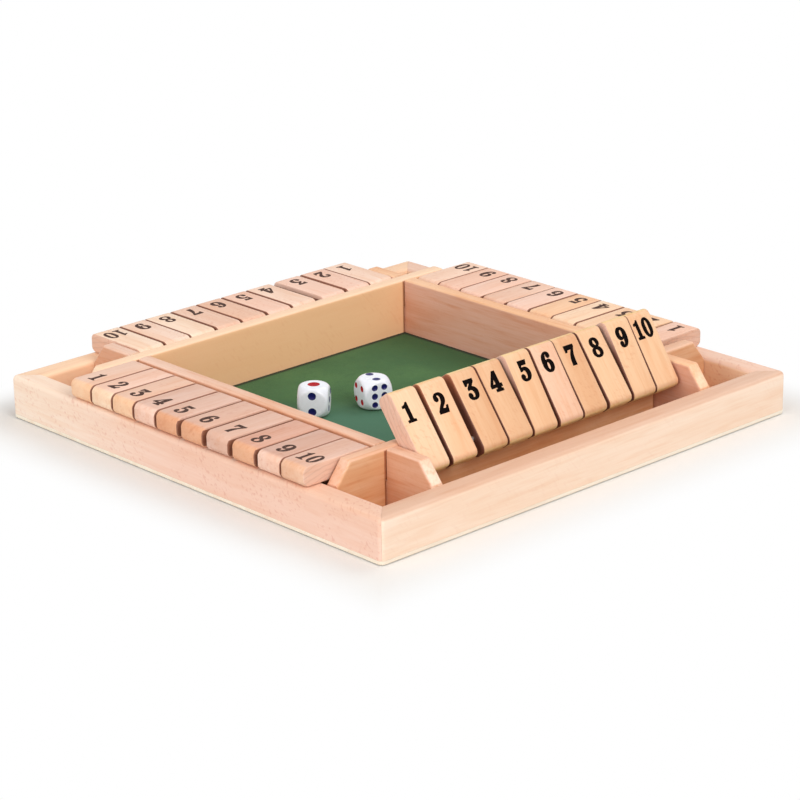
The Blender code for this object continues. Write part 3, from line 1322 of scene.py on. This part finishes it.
def corner_loss(beyond: float, radius: float, share: float = 0.8) -> float:
    """How much width a corner loses to its rounding, seen from above.

    Args:
        beyond: How far past the board's end a point is, which is less than 0 on the board.
        radius: The corner's length along the board.
        share: Its width, as a share of that.

    Returns:
        The width that is lost on one side.
    """
    across = min(max((beyond + radius) / radius, 0.0), 1.0)
    return share * radius * (1 - math.sqrt(1 - across * across))


@dataclass
class TileRow:
    """One row of ten number tiles on their rod.

    Attributes:
        row: Which side the row stands on.
        numerals: The printed numbers.
        ink: Their material.
        end_radius: The rounding of a tile's ends, seen from the side.
        tail_corner: The rounding of its corners behind the rod, seen from above.
        end_corner: That of the corners of its free end.
        edge_radius: The rounding of all its edges.
        bore_radius: The radius of its bore.
        print_from_end: How far in from the free end its number is printed.
        end_over: Over what length the free end's own tone comes.
        flecks: How dark its flecks are.
        bands: How far its figure departs from the tone.
        seed_step: How far apart two rows' parts of the log are.
        round_steps: How many chords a rounded end has.
        edge_steps: How many chords a rounded edge has.
    """

    row: Row
    numerals: Numerals
    ink: bpy.types.Material
    end_radius: float = 0.0036
    tail_corner: float = 0.0020
    end_corner: float = 0.0011
    edge_radius: float = 0.0007
    bore_radius: float = 0.0016
    print_from_end: float = 0.0118
    end_over: float = 0.0025
    flecks: float = 0.35
    bands: float = 0.55
    seed_step: int = 100
    round_steps: int = 8
    edge_steps: int = 3

    def hinges(self) -> list[dict[str, Any]]:
        """The row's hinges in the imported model.

        Returns:
            The hinges, from tile 1 to tile 10.
        """
        prefix = f"tile_{self.row.value}_"
        found = [joint for joint in frame["joints"] if joint["child"].startswith(prefix)]
        return sorted(found, key=lambda joint: joint["child"])

    def stance(self, joint: Mapping[str, Any]) -> Matrix:
        """The place of a tile's rod, along X, with the free end of a flat tile towards -Y."""
        return Matrix.Translation(joint["pos_m"]) @ self.row.turn

    def reach(self, name: str, stance: Matrix) -> tuple[Vector, Vector]:
        """The box of a tile's solid in the tile's own axes.

        Args:
            name: The solid's name.
            stance: The place of the tile's own axes.

        Returns:
            Its lowest and highest corners.
        """
        back = stance.inverted()
        points = [back @ vertex.co for vertex in frame["nodes"][name].data.vertices]
        low = Vector(min(p[axis] for p in points) for axis in range(3))
        high = Vector(max(p[axis] for p in points) for axis in range(3))
        return low, high

    def body(self, low: Vector, high: Vector) -> bpy.types.Mesh:
        """The wooden tile: rounded ends, eased corners and a bore for the rod.

        Args:
            low: The lowest corner.
            high: The highest corner.

        Returns:
            The mesh in the tile's own axes.
        """
        radius, steps = self.end_radius, self.round_steps
        near, far = low.y + radius, high.y - radius
        bottom, top = low.z + radius, high.z - radius
        side = (
            bow((near, bottom), radius, 180, 270, steps)
            + bow((far, bottom), radius, 270, 360, steps)
            + bow((far, top), radius, 0, 90, steps)
            + bow((near, top), radius, 90, 180, steps)
        )
        shape = prism(side, low.x, high.x)
        bmesh.ops.transform(shape, matrix=FACING_X, verts=shape.verts)
        bmesh.ops.recalc_face_normals(shape, faces=shape.faces)
        eased(shape, self.edge_radius, self.edge_steps, lambda a, b, turn: turn > SQUARE_EDGE)
        middle, half = (low.x + high.x) / 2, (high.x - low.x) / 2
        for vertex in shape.verts:
            inset = max(
                corner_loss(vertex.co.y - high.y, self.tail_corner),
                corner_loss(low.y - vertex.co.y, self.end_corner),
            )
            offset = vertex.co.x - middle
            vertex.co.x = middle + math.copysign(min(abs(offset), half - inset), offset)
        clear, centre = Vector((2 * half, 0, 0)), Vector((middle, 0, 0))
        bore = (centre - clear, centre + clear)
        return drilled(mesh_of("tile_wood", shape), self.bore_radius, [bore])

    def printed(
        self, number: int, low: Vector, high: Vector, wood: bpy.types.Mesh
    ) -> bpy.types.Mesh:
        """The tile with its number on both faces.

        Args:
            number: The tile's number.
            low: The lowest corner of the tile.
            high: The highest corner.
            wood: The tile's wooden mesh.

        Returns:
            One mesh, whose second material is the ink.
        """
        shape = bmesh.new()
        shape.from_mesh(wood)
        wooden = len(shape.faces)
        right, inward = 0.0, self.print_from_end
        if self.row is Row.SOUTH:
            right, inward = SOUTH_PRINTS[number - 1]
        across = (low.x + high.x) / 2 + right
        out = low.y + inward
        top = Matrix.Translation((across, out, high.z))
        under = Matrix.Translation((across, out, low.z)) @ Matrix.Rotation(math.pi, 4, "X")
        for place in (top, under):
            mesh = self.numerals.mesh(str(number)).copy()
            mesh.transform(place)
            shape.from_mesh(mesh)
            bpy.data.meshes.remove(mesh)
        shape.faces.ensure_lookup_table()
        for face in shape.faces[wooden:]:
            face.material_index = 1
        mesh = bpy.data.meshes.new(f"tile_{number}")
        shape.to_mesh(mesh)
        shape.free()
        return mesh

    def finish(self, number: int, low: Vector, lean: float) -> bpy.types.Material:
        """The beech of one tile.

        Args:
            number: The tile's number.
            low: The tile's lowest corner, whose y is its free end.
            lean: How far it leans back, in radians.

        Returns:
            Its material.
        """
        raised = self.row is Row.SOUTH
        ends = END_TONES.get(self.row)
        end_from = -low.y - self.end_radius
        return BeechFinish(
            name=f"tile_beech_{self.row.value}_{number:02d}",
            face=FACE_TONES[self.row][number - 1],
            # Painted shade on sides that face a neighbour, lighter where a raised tile stands
            # proud, with painted light down wide gaps.
            side=Tone.UMBER if raised else Tone.SIENNA,
            open_side=OPEN_SIDES.get(number, OpenSide.NEITHER),
            rim=GAP_RIMS[self.row].get(number, 0.0),
            proud=PROUD_TONES.get(number) if raised else None,
            end=ends[number - 1] if ends else None,
            end_span=(end_from, end_from + self.end_over),
            cut=Tone.WHEAT if raised else None,
            lean=lean,
            grain=Grain.ALONG_Y,
            seed=self.seed_step * list(Row).index(self.row) + number,
            flecks=self.flecks,
            bands=self.bands,
        ).material()

    def build(self) -> list[bpy.types.Object]:
        """Builds the row's ten tiles on their solids.

        Returns:
            The tiles.
        """
        tiles = []
        wood = None
        for number, joint in enumerate(self.hinges(), start=1):
            name = joint["child"]
            stance, lean = self.stance(joint), math.radians(-joint["range_deg"][0])
            raised = Matrix.Rotation(-lean, 4, "X")
            low, high = self.reach(name, stance @ raised)
            wood = wood or self.body(low, high)
            mesh = smoothed(self.printed(number, low, high, wood))
            mesh.transform(raised)
            tile = piece(f"dressed_{name}", mesh, [self.finish(number, low, lean), self.ink])
            tile.matrix_world = stance
            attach(tile, name)
            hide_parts(name)
            tiles.append(tile)
        return tiles


# Tray


@dataclass
class Tray:
    """The fixed woodwork: rails, inner walls, base panel and rods.

    Attributes:
        edge_radius: The rounding of the rails' top edges.
        corner_radius: The rounding of the tray's corners, seen from above.
        seam: The hairline left at a joint.
        lap_gap: The gap round a crossing of two walls.
        lap_stain: How far the painted shade of the corner seam reaches beside a crossing.
        wall_edge: The rounding of the walls' top edges.
        wall_steps: How many chords that rounding has.
        cheek_run: How far a wall's sloping end runs.
        cheek_round: The rounding where the slope meets the wall's top.
        cheek_steps: How many chords that rounding has.
        socket_radius: The radius of a rod's socket.
        socket_depth: How deep it is.
        mouth_clear: How far the drill for it starts outside the wall.
        edge_run: The least run along X of a top edge that is rounded.
        base_edge: The rounding of the base panel's lower edge.
        base_steps: How many chords that rounding has.
        arc_steps: How many chords a quarter circle has.
        length_steps: How many stretches a rail has along its length.
        crisp: The angle beyond which an edge stays crisp, in degrees.
        lit_end: Where along -Y the west rail's bright end sets in and is whole.
        rail_seed: The part of the log that the first rail is cut from.
        wall_seed: The part of it that the first wall is cut from.
        rail_bands: How far the rails' figure departs from the tone.
        wall_flecks: How dark the walls' flecks are.
        half: Half of the tray's width.
        rail_inner: How far the rails' inner faces are from the tray's middle.
        rail_top: The height of the rails' tops.
        floor: The height of the base panel's upper face.
        wall_inner: How far the walls' inner faces are from the tray's middle.
        wall_outer: How far their outer faces are from it.
        wall_top: The height of their tops.
        wall_end: How far their ends are from the tray's middle.
    """

    edge_radius: float = 0.0026
    corner_radius: float = 0.0030
    seam: float = 0.00005
    lap_gap: float = 0.0005
    lap_stain: float = 0.0013
    wall_edge: float = 0.0014
    wall_steps: int = 4
    cheek_run: float = 0.0085
    cheek_round: float = 0.0015
    cheek_steps: int = 4
    socket_radius: float = 0.00155
    socket_depth: float = 0.004
    mouth_clear: float = 0.001
    edge_run: float = 0.0002
    base_edge: float = 0.0004
    base_steps: int = 3
    arc_steps: int = 7
    length_steps: int = 24
    crisp: float = 30.0
    lit_end: Span = (0.01, -0.14)
    rail_seed: int = 50
    wall_seed: int = 60
    rail_bands: float = 0.4
    wall_flecks: float = 0.15
    half: float = field(init=False)
    rail_inner: float = field(init=False)
    rail_top: float = field(init=False)
    floor: float = field(init=False)
    wall_inner: float = field(init=False)
    wall_outer: float = field(init=False)
    wall_top: float = field(init=False)
    wall_end: float = field(init=False)

    def __post_init__(self) -> None:
        """Reads the plan and the heights from the solids."""
        low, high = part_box("rail_south")
        self.half, self.rail_inner, self.rail_top = -low.y, -high.y, high.z
        self.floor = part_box("base_panel")[1].z
        low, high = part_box("wall_south")
        self.wall_outer, self.wall_inner = -low.y, -high.y
        self.wall_end, self.wall_top = high.x, high.z

    def rail_profile(self) -> Outline:
        """A rail's section.

        Returns:
            Its points, each as distance from the tray's middle and height.
        """
        radius, steps = self.edge_radius, self.arc_steps
        inner, outer, top = self.rail_inner, self.half, self.rail_top
        low = self.floor + self.seam
        return (
            [(inner, low), (outer, low)]
            + bow((outer - radius, top - radius), radius, 0, 90, steps)
            + bow((inner + radius, top - radius), radius, 90, 180, steps)
        )

    def rail_mesh(self) -> bpy.types.Mesh:
        """The south rail, from one mitre to the other, round the tray's corners.

        Returns:
            Its mesh.
        """
        shape = bmesh.new()
        rings = []
        for out, height in self.rail_profile():
            radius = max(self.corner_radius - (self.half - out), 0.0)
            centre = out - radius
            left = bow((-centre, -centre), radius, 225, 270, self.arc_steps)
            right = bow((centre, -centre), radius, 270, 315, self.arc_steps)
            steps = self.length_steps
            middle = [(-centre + 2 * centre * i / steps, -out) for i in range(1, steps)]
            path = left + middle + right
            path[0] = (path[0][0] + self.seam, path[0][1])
            path[-1] = (path[-1][0] - self.seam, path[-1][1])
            rings.append([shape.verts.new((x, y, height)) for x, y in path])
        for ring, after in zip(rings, rings[1:] + rings[:1]):
            for a, b, c, d in zip(ring, ring[1:], after[1:], after):
                shape.faces.new((a, b, c, d))
        shape.faces.new([ring[0] for ring in rings])
        shape.faces.new([ring[-1] for ring in rings])
        bmesh.ops.remove_doubles(shape, verts=shape.verts, dist=SAME_POINT)
        return smoothed(mesh_of("rail", shape), self.crisp)

    def wall_outline(self, over: bool) -> Outline:
        """The side view of an inner wall, with its half of the two cross laps.

        Args:
            over: Whether the wall lies over the ones it crosses.

        Returns:
            The outline, anticlockwise.
        """
        end, top, rail = self.wall_end, self.wall_top, self.rail_top
        near, far = self.wall_inner - self.lap_gap, self.wall_outer + self.lap_gap
        lap = (self.floor + top + (self.lap_gap if over else -self.lap_gap)) / 2
        low = self.floor + self.seam
        lean = math.atan2(self.cheek_run, top - rail)
        radius = self.cheek_round
        start = end - self.cheek_run - radius * math.tan(math.pi / 4 - lean / 2)
        slope = bow((start, top - radius), radius, math.degrees(lean), 90, self.cheek_steps)
        tail = [(end, low), (end, rail)] + slope
        if over:
            half = [(near, low), (near, lap), (far, lap), (far, low)] + tail
        else:
            half = tail + [(far, top), (far, lap), (near, lap), (near, top)]
        return half + [(-u, v) for u, v in reversed(half)]

    def wall_mesh(self, over: bool) -> bpy.types.Mesh:
        """The south wall, or one of its shape, with its top edges rounded.

        Args:
            over: Whether it lies over the ones it crosses.

        Returns:
            Its mesh, in the row's own axes.
        """
        shape = prism(self.wall_outline(over), self.wall_inner, self.wall_outer)
        bmesh.ops.transform(shape, matrix=FACING_Y, verts=shape.verts)
        bmesh.ops.recalc_face_normals(shape, faces=shape.faces)
        lap = (self.floor + self.wall_top) / 2

        def along_top(start: Vector, stop: Vector, turn: float) -> bool:
            """Whether an edge is one of the long or sloping ones at the top."""
            above = min(start.z, stop.z) > (lap + self.rail_top) / 2
            return above and turn > SQUARE_EDGE and abs(start.x - stop.x) > self.edge_run

        eased(shape, self.wall_edge, self.wall_steps, along_top)
        holes = []
        for low, high in (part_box("rod_east"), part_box("rod_west")):
            centre = (low + high) / 2
            mouth = Vector((centre.x, self.mouth_clear - self.wall_inner, centre.z))
            bottom = Vector((centre.x, -self.wall_inner - self.socket_depth, centre.z))
            holes.append((mouth, bottom))
        wall = drilled(mesh_of("wall", shape), self.socket_radius, holes)
        return smoothed(wall, self.crisp)

    def base_mesh(self) -> bpy.types.Mesh:
        """The thin panel under everything, its lower edge eased.

        Returns:
            Its mesh.
        """
        radius = self.corner_radius
        centre = self.half - radius
        outline = []
        for x, y, start in ((1, 1, 0), (-1, 1, 90), (-1, -1, 180), (1, -1, 270)):
            outline += bow((x * centre, y * centre), radius, start, start + 90, self.arc_steps)
        shape = prism(outline, 0.0, self.floor)

        def below(start: Vector, stop: Vector, turn: float) -> bool:
            """Whether an edge is one of the square ones underneath."""
            return max(start.z, stop.z) < SAME_POINT and turn > SQUARE_EDGE

        eased(shape, self.base_edge, self.base_steps, below)
        return smoothed(mesh_of("base", shape), self.crisp)

    def rail_finish(self, row: Row, seed: int) -> BeechFinish:
        """The beech of one rail.

        Args:
            row: Which side the rail is on.
            seed: Which part of the log it is cut from.

        Returns:
            Its finish.
        """
        face, top = RAIL_TONES[row]
        return BeechFinish(
            f"rail_beech_{row.value}",
            face,
            top,
            end=Tone.MILK if row is Row.WEST else None,
            end_span=self.lit_end,
            grain=row.grain,
            seed=seed,
            flecks=RAIL_FLECKS[row],
            bands=self.rail_bands,
        )

    def wall_finish(self, row: Row, seed: int) -> BeechFinish:
        """The beech of one inner wall.

        Args:
            row: Which side the wall is on.
            seed: Which part of the log it is cut from.

        Returns:
            Its finish.
        """
        face, top, cut = WALL_TONES[row]
        return BeechFinish(
            f"wall_beech_{row.value}",
            face,
            top,
            cut=cut,
            # The band beside each crossing is painted shade of the corner seam.
            crossing=(self.wall_inner + self.wall_outer) / 2 if row.over else 0.0,
            crossing_half=(self.wall_outer - self.wall_inner) / 2 + self.lap_stain,
            grain=row.grain,
            seed=seed,
            flecks=self.wall_flecks,
            bands=WALL_BANDS[row],
        )

    def build(self) -> list[bpy.types.Object]:
        """Builds the rails, walls and base, and dresses the rods.

        Returns:
            The pieces, with the rods' own solids.
        """
        pieces = []
        rail = self.rail_mesh()
        lapped = {True: self.wall_mesh(over=True), False: self.wall_mesh(over=False)}
        for number, row in enumerate(Row):
            beech = self.rail_finish(row, self.rail_seed + number).material()
            pieces.append(self.place(f"rail_{row.value}", rail, row, beech, "rail_beech"))
            beech = self.wall_finish(row, self.wall_seed + number).material()
            wall = lapped[row.over]
            pieces.append(self.place(f"wall_{row.value}", wall, row, beech, "wall_beech"))
        panel = PlywoodFinish().material()
        pieces.append(self.place("base_panel", self.base_mesh(), Row.SOUTH, panel, "plywood"))
        steel = SteelFinish().material()
        for row in Row:
            rod = frame["nodes"][f"rod_{row.value}"]
            for slot in rod.material_slots:
                slot.material = steel
            pieces.append(rod)
        return pieces

    def place(
        self, node: str, mesh: bpy.types.Mesh, row: Row, material: bpy.types.Material, slot: str
    ) -> bpy.types.Object:
        """Stands a detailed board for one of the solids.

        Args:
            node: The solid's name.
            mesh: The board's mesh in the south row's axes.
            row: The row that it is turned to.
            material: Its material.
            slot: The name of a material slot, which is not used.

        Returns:
            The board.
        """
        own = mesh.copy()
        own.transform(row.turn)
        board = piece(f"dressed_{node}", own, [material])
        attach(board, BODY_TRAY)
        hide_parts(node)
        return board


# Felt


@dataclass
class FeltFloor:
    """The sheet of felt glued to the base between the inner walls.

    Attributes:
        inset: How far the sheet stays inside its solid.
        nap: How far its surface goes up and down.
        cells: How many points it has along each side.
        seed: The seed of its unevenness.
    """

    inset: float = 0.0001
    nap: float = 0.00005
    cells: int = 96
    seed: int = 11

    def build(self) -> list[bpy.types.Object]:
        """Lays the sheet.

        Returns:
            The sheet.
        """
        low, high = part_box("felt_floor")
        half = high.x - self.inset
        shape = bmesh.new()
        bmesh.ops.create_grid(shape, x_segments=self.cells, y_segments=self.cells, size=half)
        unevenness = random.Random(self.seed)
        for vertex in shape.verts:
            vertex.co.z = high.z - self.nap * unevenness.random()
        edge = [e for e in shape.edges if e.is_boundary]
        drawn = bmesh.ops.extrude_edge_only(shape, edges=edge)
        for item in drawn["geom"]:
            if isinstance(item, bmesh.types.BMVert):
                item.co.z = low.z + self.nap
        felt = piece("felt_sheet", smoothed(mesh_of("felt", shape)), [FeltFinish(half).material()])
        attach(felt, BODY_TRAY)
        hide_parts("felt_floor")
        return [felt]



# Dice


class Face(Enum):
    """The six faces of a die, by the direction that each looks in."""

    RIGHT = (1, 0, 0)
    LEFT = (-1, 0, 0)
    BACK = (0, 1, 0)
    FRONT = (0, -1, 0)
    TOP = (0, 0, 1)
    BOTTOM = (0, 0, -1)

    @property
    def axes(self) -> Matrix:
        """The turn that brings +Z to look the face's way."""
        return Vector(self.value).to_track_quat("Z", "Y").to_matrix().to_4x4()


@dataclass(frozen=True)
class Pips:
    """The pips of one number.

    Attributes:
        radius: A pip's radius.
        spots: Where they lie on the face.
        red: Whether they are painted red and not blue.
    """

    radius: float
    spots: tuple[Point, ...]
    red: bool = False


def mirrored(*spots: Point) -> tuple[Point, ...]:
    """The spots and their opposites through the middle of the face."""
    return spots + tuple((-x, -y) for x, y in spots)


CORNERS = mirrored((0.0038, 0.0038), (-0.0038, 0.0038))
PIPS: dict[int, Pips] = {
    1: Pips(0.0033, ((0, 0),), red=True),
    2: Pips(0.0022, mirrored((0, 0.0044))),
    3: Pips(0.0018, mirrored((0.0036, 0.0036)) + ((0, 0),)),
    4: Pips(0.0017, CORNERS, red=True),
    5: Pips(0.0017, CORNERS + ((0, 0),)),
    6: Pips(0.00178, mirrored((0.0028, 0.0048), (-0.0028, 0.0048), (0.0028, 0))),
}
OPPOSITE_SUM = 7


@dataclass
class Die:
    """One die: a cube rounded by a ball, with dished and painted pips.

    Attributes:
        node: The solid that it stands for.
        turn: Its turn about Z, in degrees.
        top: The number on top.
        front: The number in front.
        right: The number on the right.
        ball_share: The ball's radius, as a share of the cube's width.
        blend: How suddenly the cube gives way to the ball.
        cells: How many points a face has along each side.
        dish: How deep a pip is.
        bowl: The circles of a pip's bowl, as shares of its radius.
        lid: How wide the pip's cutter is above the face, as a share of its radius.
        lid_heights: How high it is there, as shares of the dish.
        pip_sides: How many sides a pip has.
        crisp: The angle beyond which an edge stays crisp, in degrees.
    """

    node: str
    turn: float
    top: int
    front: int
    right: int
    ball_share: float = 0.66
    blend: float = 40.0
    cells: int = 26
    dish: float = 0.00055
    bowl: tuple[float, ...] = (0.35, 0.6, 0.8, 0.92, 1.0)
    lid: float = 1.2
    lid_heights: Span = (0.44, 2.0)
    pip_sides: int = 28
    crisp: float = 15.0

    def faces(self) -> dict[Face, int]:
        """The number on each face.

        Returns:
            The numbers, of which opposite ones add up to seven.
        """
        return {
            Face.TOP: self.top,
            Face.BOTTOM: OPPOSITE_SUM - self.top,
            Face.FRONT: self.front,
            Face.BACK: OPPOSITE_SUM - self.front,
            Face.RIGHT: self.right,
            Face.LEFT: OPPOSITE_SUM - self.right,
        }

    def blank(self, size: float) -> bpy.types.Object:
        """The cube, drawn in to a ball wherever it reaches out of it, with a soft change between.

        Args:
            size: The cube's width.

        Returns:
            The object, without pips.
        """
        shape = bmesh.new()
        cells, lift = self.cells, Matrix.Translation((0, 0, 1))
        for face in Face:
            place = face.axes @ lift
            bmesh.ops.create_grid(shape, x_segments=cells, y_segments=cells, size=1, matrix=place)
        bmesh.ops.remove_doubles(shape, verts=shape.verts, dist=1e-5)
        ball = self.ball_share * size
        for vertex in shape.verts:
            vertex.co = Vector(math.tan(part * math.pi / 4) for part in vertex.co)
            way = vertex.co.normalized()
            cube = size / 2 / max(abs(part) for part in way)
            vertex.co = way * (cube**-self.blend + ball**-self.blend) ** (-1 / self.blend)
        return piece("die_blank", mesh_of("die", shape))

    def lens(self, shape: bmesh.types.BMesh, radius: float, place: Matrix) -> None:
        """Adds a cutter for one pip: a shallow bowl with a lid above the face.

        Args:
            shape: The shape that it is added to.
            radius: The pip's radius.
            place: Its place, with the face's plane as its XY plane.
        """
        profile = [(share, self.dish * (share * share - 1)) for share in self.bowl]
        profile += [(self.lid, self.dish * height) for height in self.lid_heights]
        rings = []
        for share, height in profile:
            ring = bow((0, 0), share * radius, 0, 360, self.pip_sides)[:-1]
            rings.append([shape.verts.new(place @ Vector((x, y, height))) for x, y in ring])
        for ring, after in zip(rings, rings[1:]):
            for index, vertex in enumerate(ring):
                shape.faces.new((ring[index - 1], vertex, after[index], after[index - 1]))
        shape.faces.new(rings[-1])
        low = shape.verts.new(place @ Vector((0, 0, -self.dish)))
        for index, vertex in enumerate(rings[0]):
            shape.faces.new((rings[0][index - 1], low, vertex))

    def cutter(self, size: float, red: bool) -> bpy.types.Object:
        """The cutters of all the pips of one colour.

        Args:
            size: The die's width.
            red: Whether they are the red ones.

        Returns:
            One object of them all.
        """
        shape = bmesh.new()
        for face, number in self.faces().items():
            pips = PIPS[number]
            for x, y in pips.spots if pips.red == red else ():
                self.lens(shape, pips.radius, face.axes @ Matrix.Translation((x, y, size / 2)))
        return piece("pip_cutter", mesh_of("pips", shape))

    def build(self, materials: Sequence[bpy.types.Material]) -> list[bpy.types.Object]:
        """Builds the die on its solid.

        Args:
            materials: The plastic, the red paint and the blue paint.

        Returns:
            The die.
        """
        low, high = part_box(self.node)
        size = high.z - low.z
        blank = self.blank(size)
        cutters = [self.cutter(size, red) for red in (True, False)]
        for thing in (blank, *cutters):
            for material in materials:
                thing.data.materials.append(material)
        for index, cutter in enumerate(cutters, start=1):
            for polygon in cutter.data.polygons:
                polygon.material_index = index
            cut_by(blank, cutter)
        mesh = smoothed(applied(blank), self.crisp)
        for cutter in cutters:
            bpy.data.objects.remove(cutter, do_unlink=True)
        die = piece(f"dressed_{self.node}", mesh, materials)
        turn = Matrix.Rotation(math.radians(self.turn), 4, "Z")
        die.matrix_world = Matrix.Translation((low + high) / 2) @ turn
        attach(die, self.node)
        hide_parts(self.node)
        return [die]


# Studio


def from_tray(azimuth: float, elevation: float) -> Vector:
    """The way from the tray to something round it.

    Args:
        azimuth: Its turn about Z from straight in front, in radians.
        elevation: Its height above the floor, in radians.

    Returns:
        The way, one metre long.
    """
    level = math.cos(elevation)
    return Vector((math.sin(azimuth) * level, -math.cos(azimuth) * level, math.sin(elevation)))


@dataclass(frozen=True)
class Lamp:
    """A large soft lamp that faces the tray.

    Attributes:
        name: The lamp's name.
        azimuth: Its turn about Z from straight in front, in degrees.
        elevation: Its height, in degrees.
        size: Its width in metres.
        watts: Its power.
        distance: Its distance from the tray in metres.
    """

    name: str
    azimuth: float
    elevation: float
    size: float
    watts: float
    distance: float = 2.2

    def build(self) -> None:
        """Hangs the lamp."""
        data = bpy.data.lights.new(self.name, "AREA")
        data.shape = "DISK"
        data.size = self.size
        data.energy = self.watts
        towards = from_tray(math.radians(self.azimuth), math.radians(self.elevation))
        lamp = bpy.data.objects.new(self.name, data)
        lamp.location = towards * self.distance
        lamp.rotation_euler = towards.to_track_quat("Z", "Y").to_euler()
        bpy.context.scene.collection.objects.link(lamp)


LAMPS = (
    Lamp("key", azimuth=-8, elevation=38, size=1.2, watts=23),
    Lamp("side", azimuth=-85, elevation=20, size=1.8, watts=23),
    Lamp("right", azimuth=80, elevation=52, size=1.4, watts=11),
)


@dataclass
class Studio:
    """The pale floor, the soft light and the camera.

    Attributes:
        azimuth: The camera's turn about Z from straight in front, in degrees.
        elevation: Its height above the floor, in degrees.
        roll: Its tilt, in degrees.
        distance: Its distance from the tray's middle, in metres.
        focal_pixels: Its focal length in pixels of the picture.
        shift_pixels: How far the picture's middle is moved, in pixels.
        picture: The picture's width and height in pixels.
        sensor: The camera's own measure of that width, in millimetres.
        clip: The nearest and the farthest that it sees, in metres.
        floor_half: Half of the floor's width in metres.
        floor_drop: How far the floor lies under the tray.
        floor_shade: How bright the floor is to the light that it throws back.
        floor_shown: The floor's colour to the camera.
        glow: How much of the floor shows as plain white near the tray.
        fade: How far from the middle more of it begins to, and all of it does.
        ambient: How bright the surround is to everything but the camera.
    """

    azimuth: float = -42.652
    elevation: float = 20.069
    roll: float = -1.083
    distance: float = 1.4931
    focal_pixels: float = 2810.3
    shift_pixels: Point = (2.86, 14.30)
    picture: int = 800
    sensor: float = 36.0
    clip: Span = (0.05, 60)
    floor_half: float = 14.0
    floor_drop: float = 0.0005
    floor_shade: float = 0.6
    floor_shown: Color = (0.82, 0.79, 0.755)
    glow: float = 0.05
    fade: Span = (0.147, 0.19)
    ambient: float = 0.45

    def camera(self) -> None:
        """Sets the camera at the photograph's viewing angle."""
        data = bpy.data.cameras.new("camera")
        data.sensor_width = self.sensor
        data.lens = self.focal_pixels * self.sensor / self.picture
        data.shift_x, data.shift_y = (shift / self.picture for shift in self.shift_pixels)
        data.clip_start, data.clip_end = self.clip
        azimuth, elevation, roll = (
            math.radians(angle) for angle in (self.azimuth, self.elevation, self.roll)
        )
        back = from_tray(azimuth, elevation)
        level = Vector((math.cos(azimuth), math.sin(azimuth), 0))
        above = back.cross(level)
        right = level * math.cos(roll) + above * math.sin(roll)
        up = above * math.cos(roll) - level * math.sin(roll)
        axes = Matrix((right, up, back)).transposed().to_4x4()
        thing = bpy.data.objects.new("camera", data)
        thing.matrix_world = Matrix.Translation(back * self.distance) @ axes
        bpy.context.scene.collection.objects.link(thing)
        bpy.context.scene.camera = thing

    def shown(self, graph: Graph) -> Wire:
        """Whether the camera looks at a place, straight or in a mirror.

        Args:
            graph: The graph of the floor or the surround.

        Returns:
            1 where it does, 0 where only light comes.
        """
        rays = [
            graph.add("ShaderNodeLightPath", output=f"Is {kind} Ray")
            for kind in ("Camera", "Glossy")
        ]
        return rays[0].combined("MAXIMUM", *rays)

    def floor(self) -> None:
        """A pale floor that shows white to the camera and keeps a soft shadow."""
        shape = bmesh.new()
        bmesh.ops.create_grid(shape, x_segments=1, y_segments=1, size=self.floor_half)
        graph = Graph(bpy.data.materials.new("pale_floor"))
        shown = self.shown(graph)
        material = graph.finish({
            "Base Color": graph.mix(shown, [self.floor_shade] * 3, self.floor_shown),
            "Roughness": 1.0,
            "Specular IOR Level": 0.0,
        })
        away = graph.spread(graph.place()).ramp(*self.fade)
        share = shown * away.between(self.glow, 1.0)
        white = graph.add("ShaderNodeEmission", None, {"Color": (1, 1, 1), "Strength": 1.0})
        matt = Wire(graph, graph.shader.outputs[0])
        surface = graph.add("ShaderNodeMixShader", None, {0: share, 1: matt, 2: white})
        graph.feed(graph.nodes["Material Output"].inputs["Surface"], surface)
        floor = piece("pale_floor", mesh_of("floor", shape), [material])
        floor.location.z = -self.floor_drop

    def world(self) -> None:
        """An even white surround, seen as white and lighting softly."""
        world = bpy.data.worlds.new("surround")
        bpy.context.scene.world = world
        graph = Graph(world, "Background")
        strength = self.shown(graph).between(self.ambient, 1.0)
        graph.finish({"Color": (1, 1, 1), "Strength": strength})

    def build(self) -> None:
        """Builds the whole studio."""
        self.camera()
        self.floor()
        self.world()
        for lamp in LAMPS:
            lamp.build()
        bpy.context.scene.view_settings.view_transform = "Standard"


def main() -> None:
    """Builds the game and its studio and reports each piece."""
    logging.basicConfig(level=logging.INFO, format="%(message)s")
    Studio().build()
    pieces = Tray().build() + FeltFloor().build()
    fresh = InkFinish("numeral_ink", full=(6, 2, 2), worn=(30, 14, 10)).material()
    faded = InkFinish("numeral_ink_faded", full=(82, 62, 56), worn=(134, 106, 94)).material()
    bold, light = Numerals(), Numerals(weight=0.0002)
    for row in Row:
        prints = (bold, fresh) if row is Row.SOUTH else (light, faded)
        pieces += TileRow(row, *prints).build()
    plastic = [
        DieFinish("die_white", (244, 246, 254), roughness=0.2).material(),
        DieFinish("pip_red", (176, 12, 26), roughness=0.5, sheen=0.2).material(),
        DieFinish("pip_blue", (12, 10, 92), roughness=0.32, sheen=0.45).material(),
    ]
    pieces += Die("die_left", turn=-49.0, top=1, front=2, right=3).build(plastic)
    pieces += Die("die_right", turn=-18.0, top=2, front=6, right=3).build(plastic)
    for thing in pieces:
        log.info("%s: %d faces", thing.name, len(thing.data.polygons))


if __name__ == "__main__":
    main()
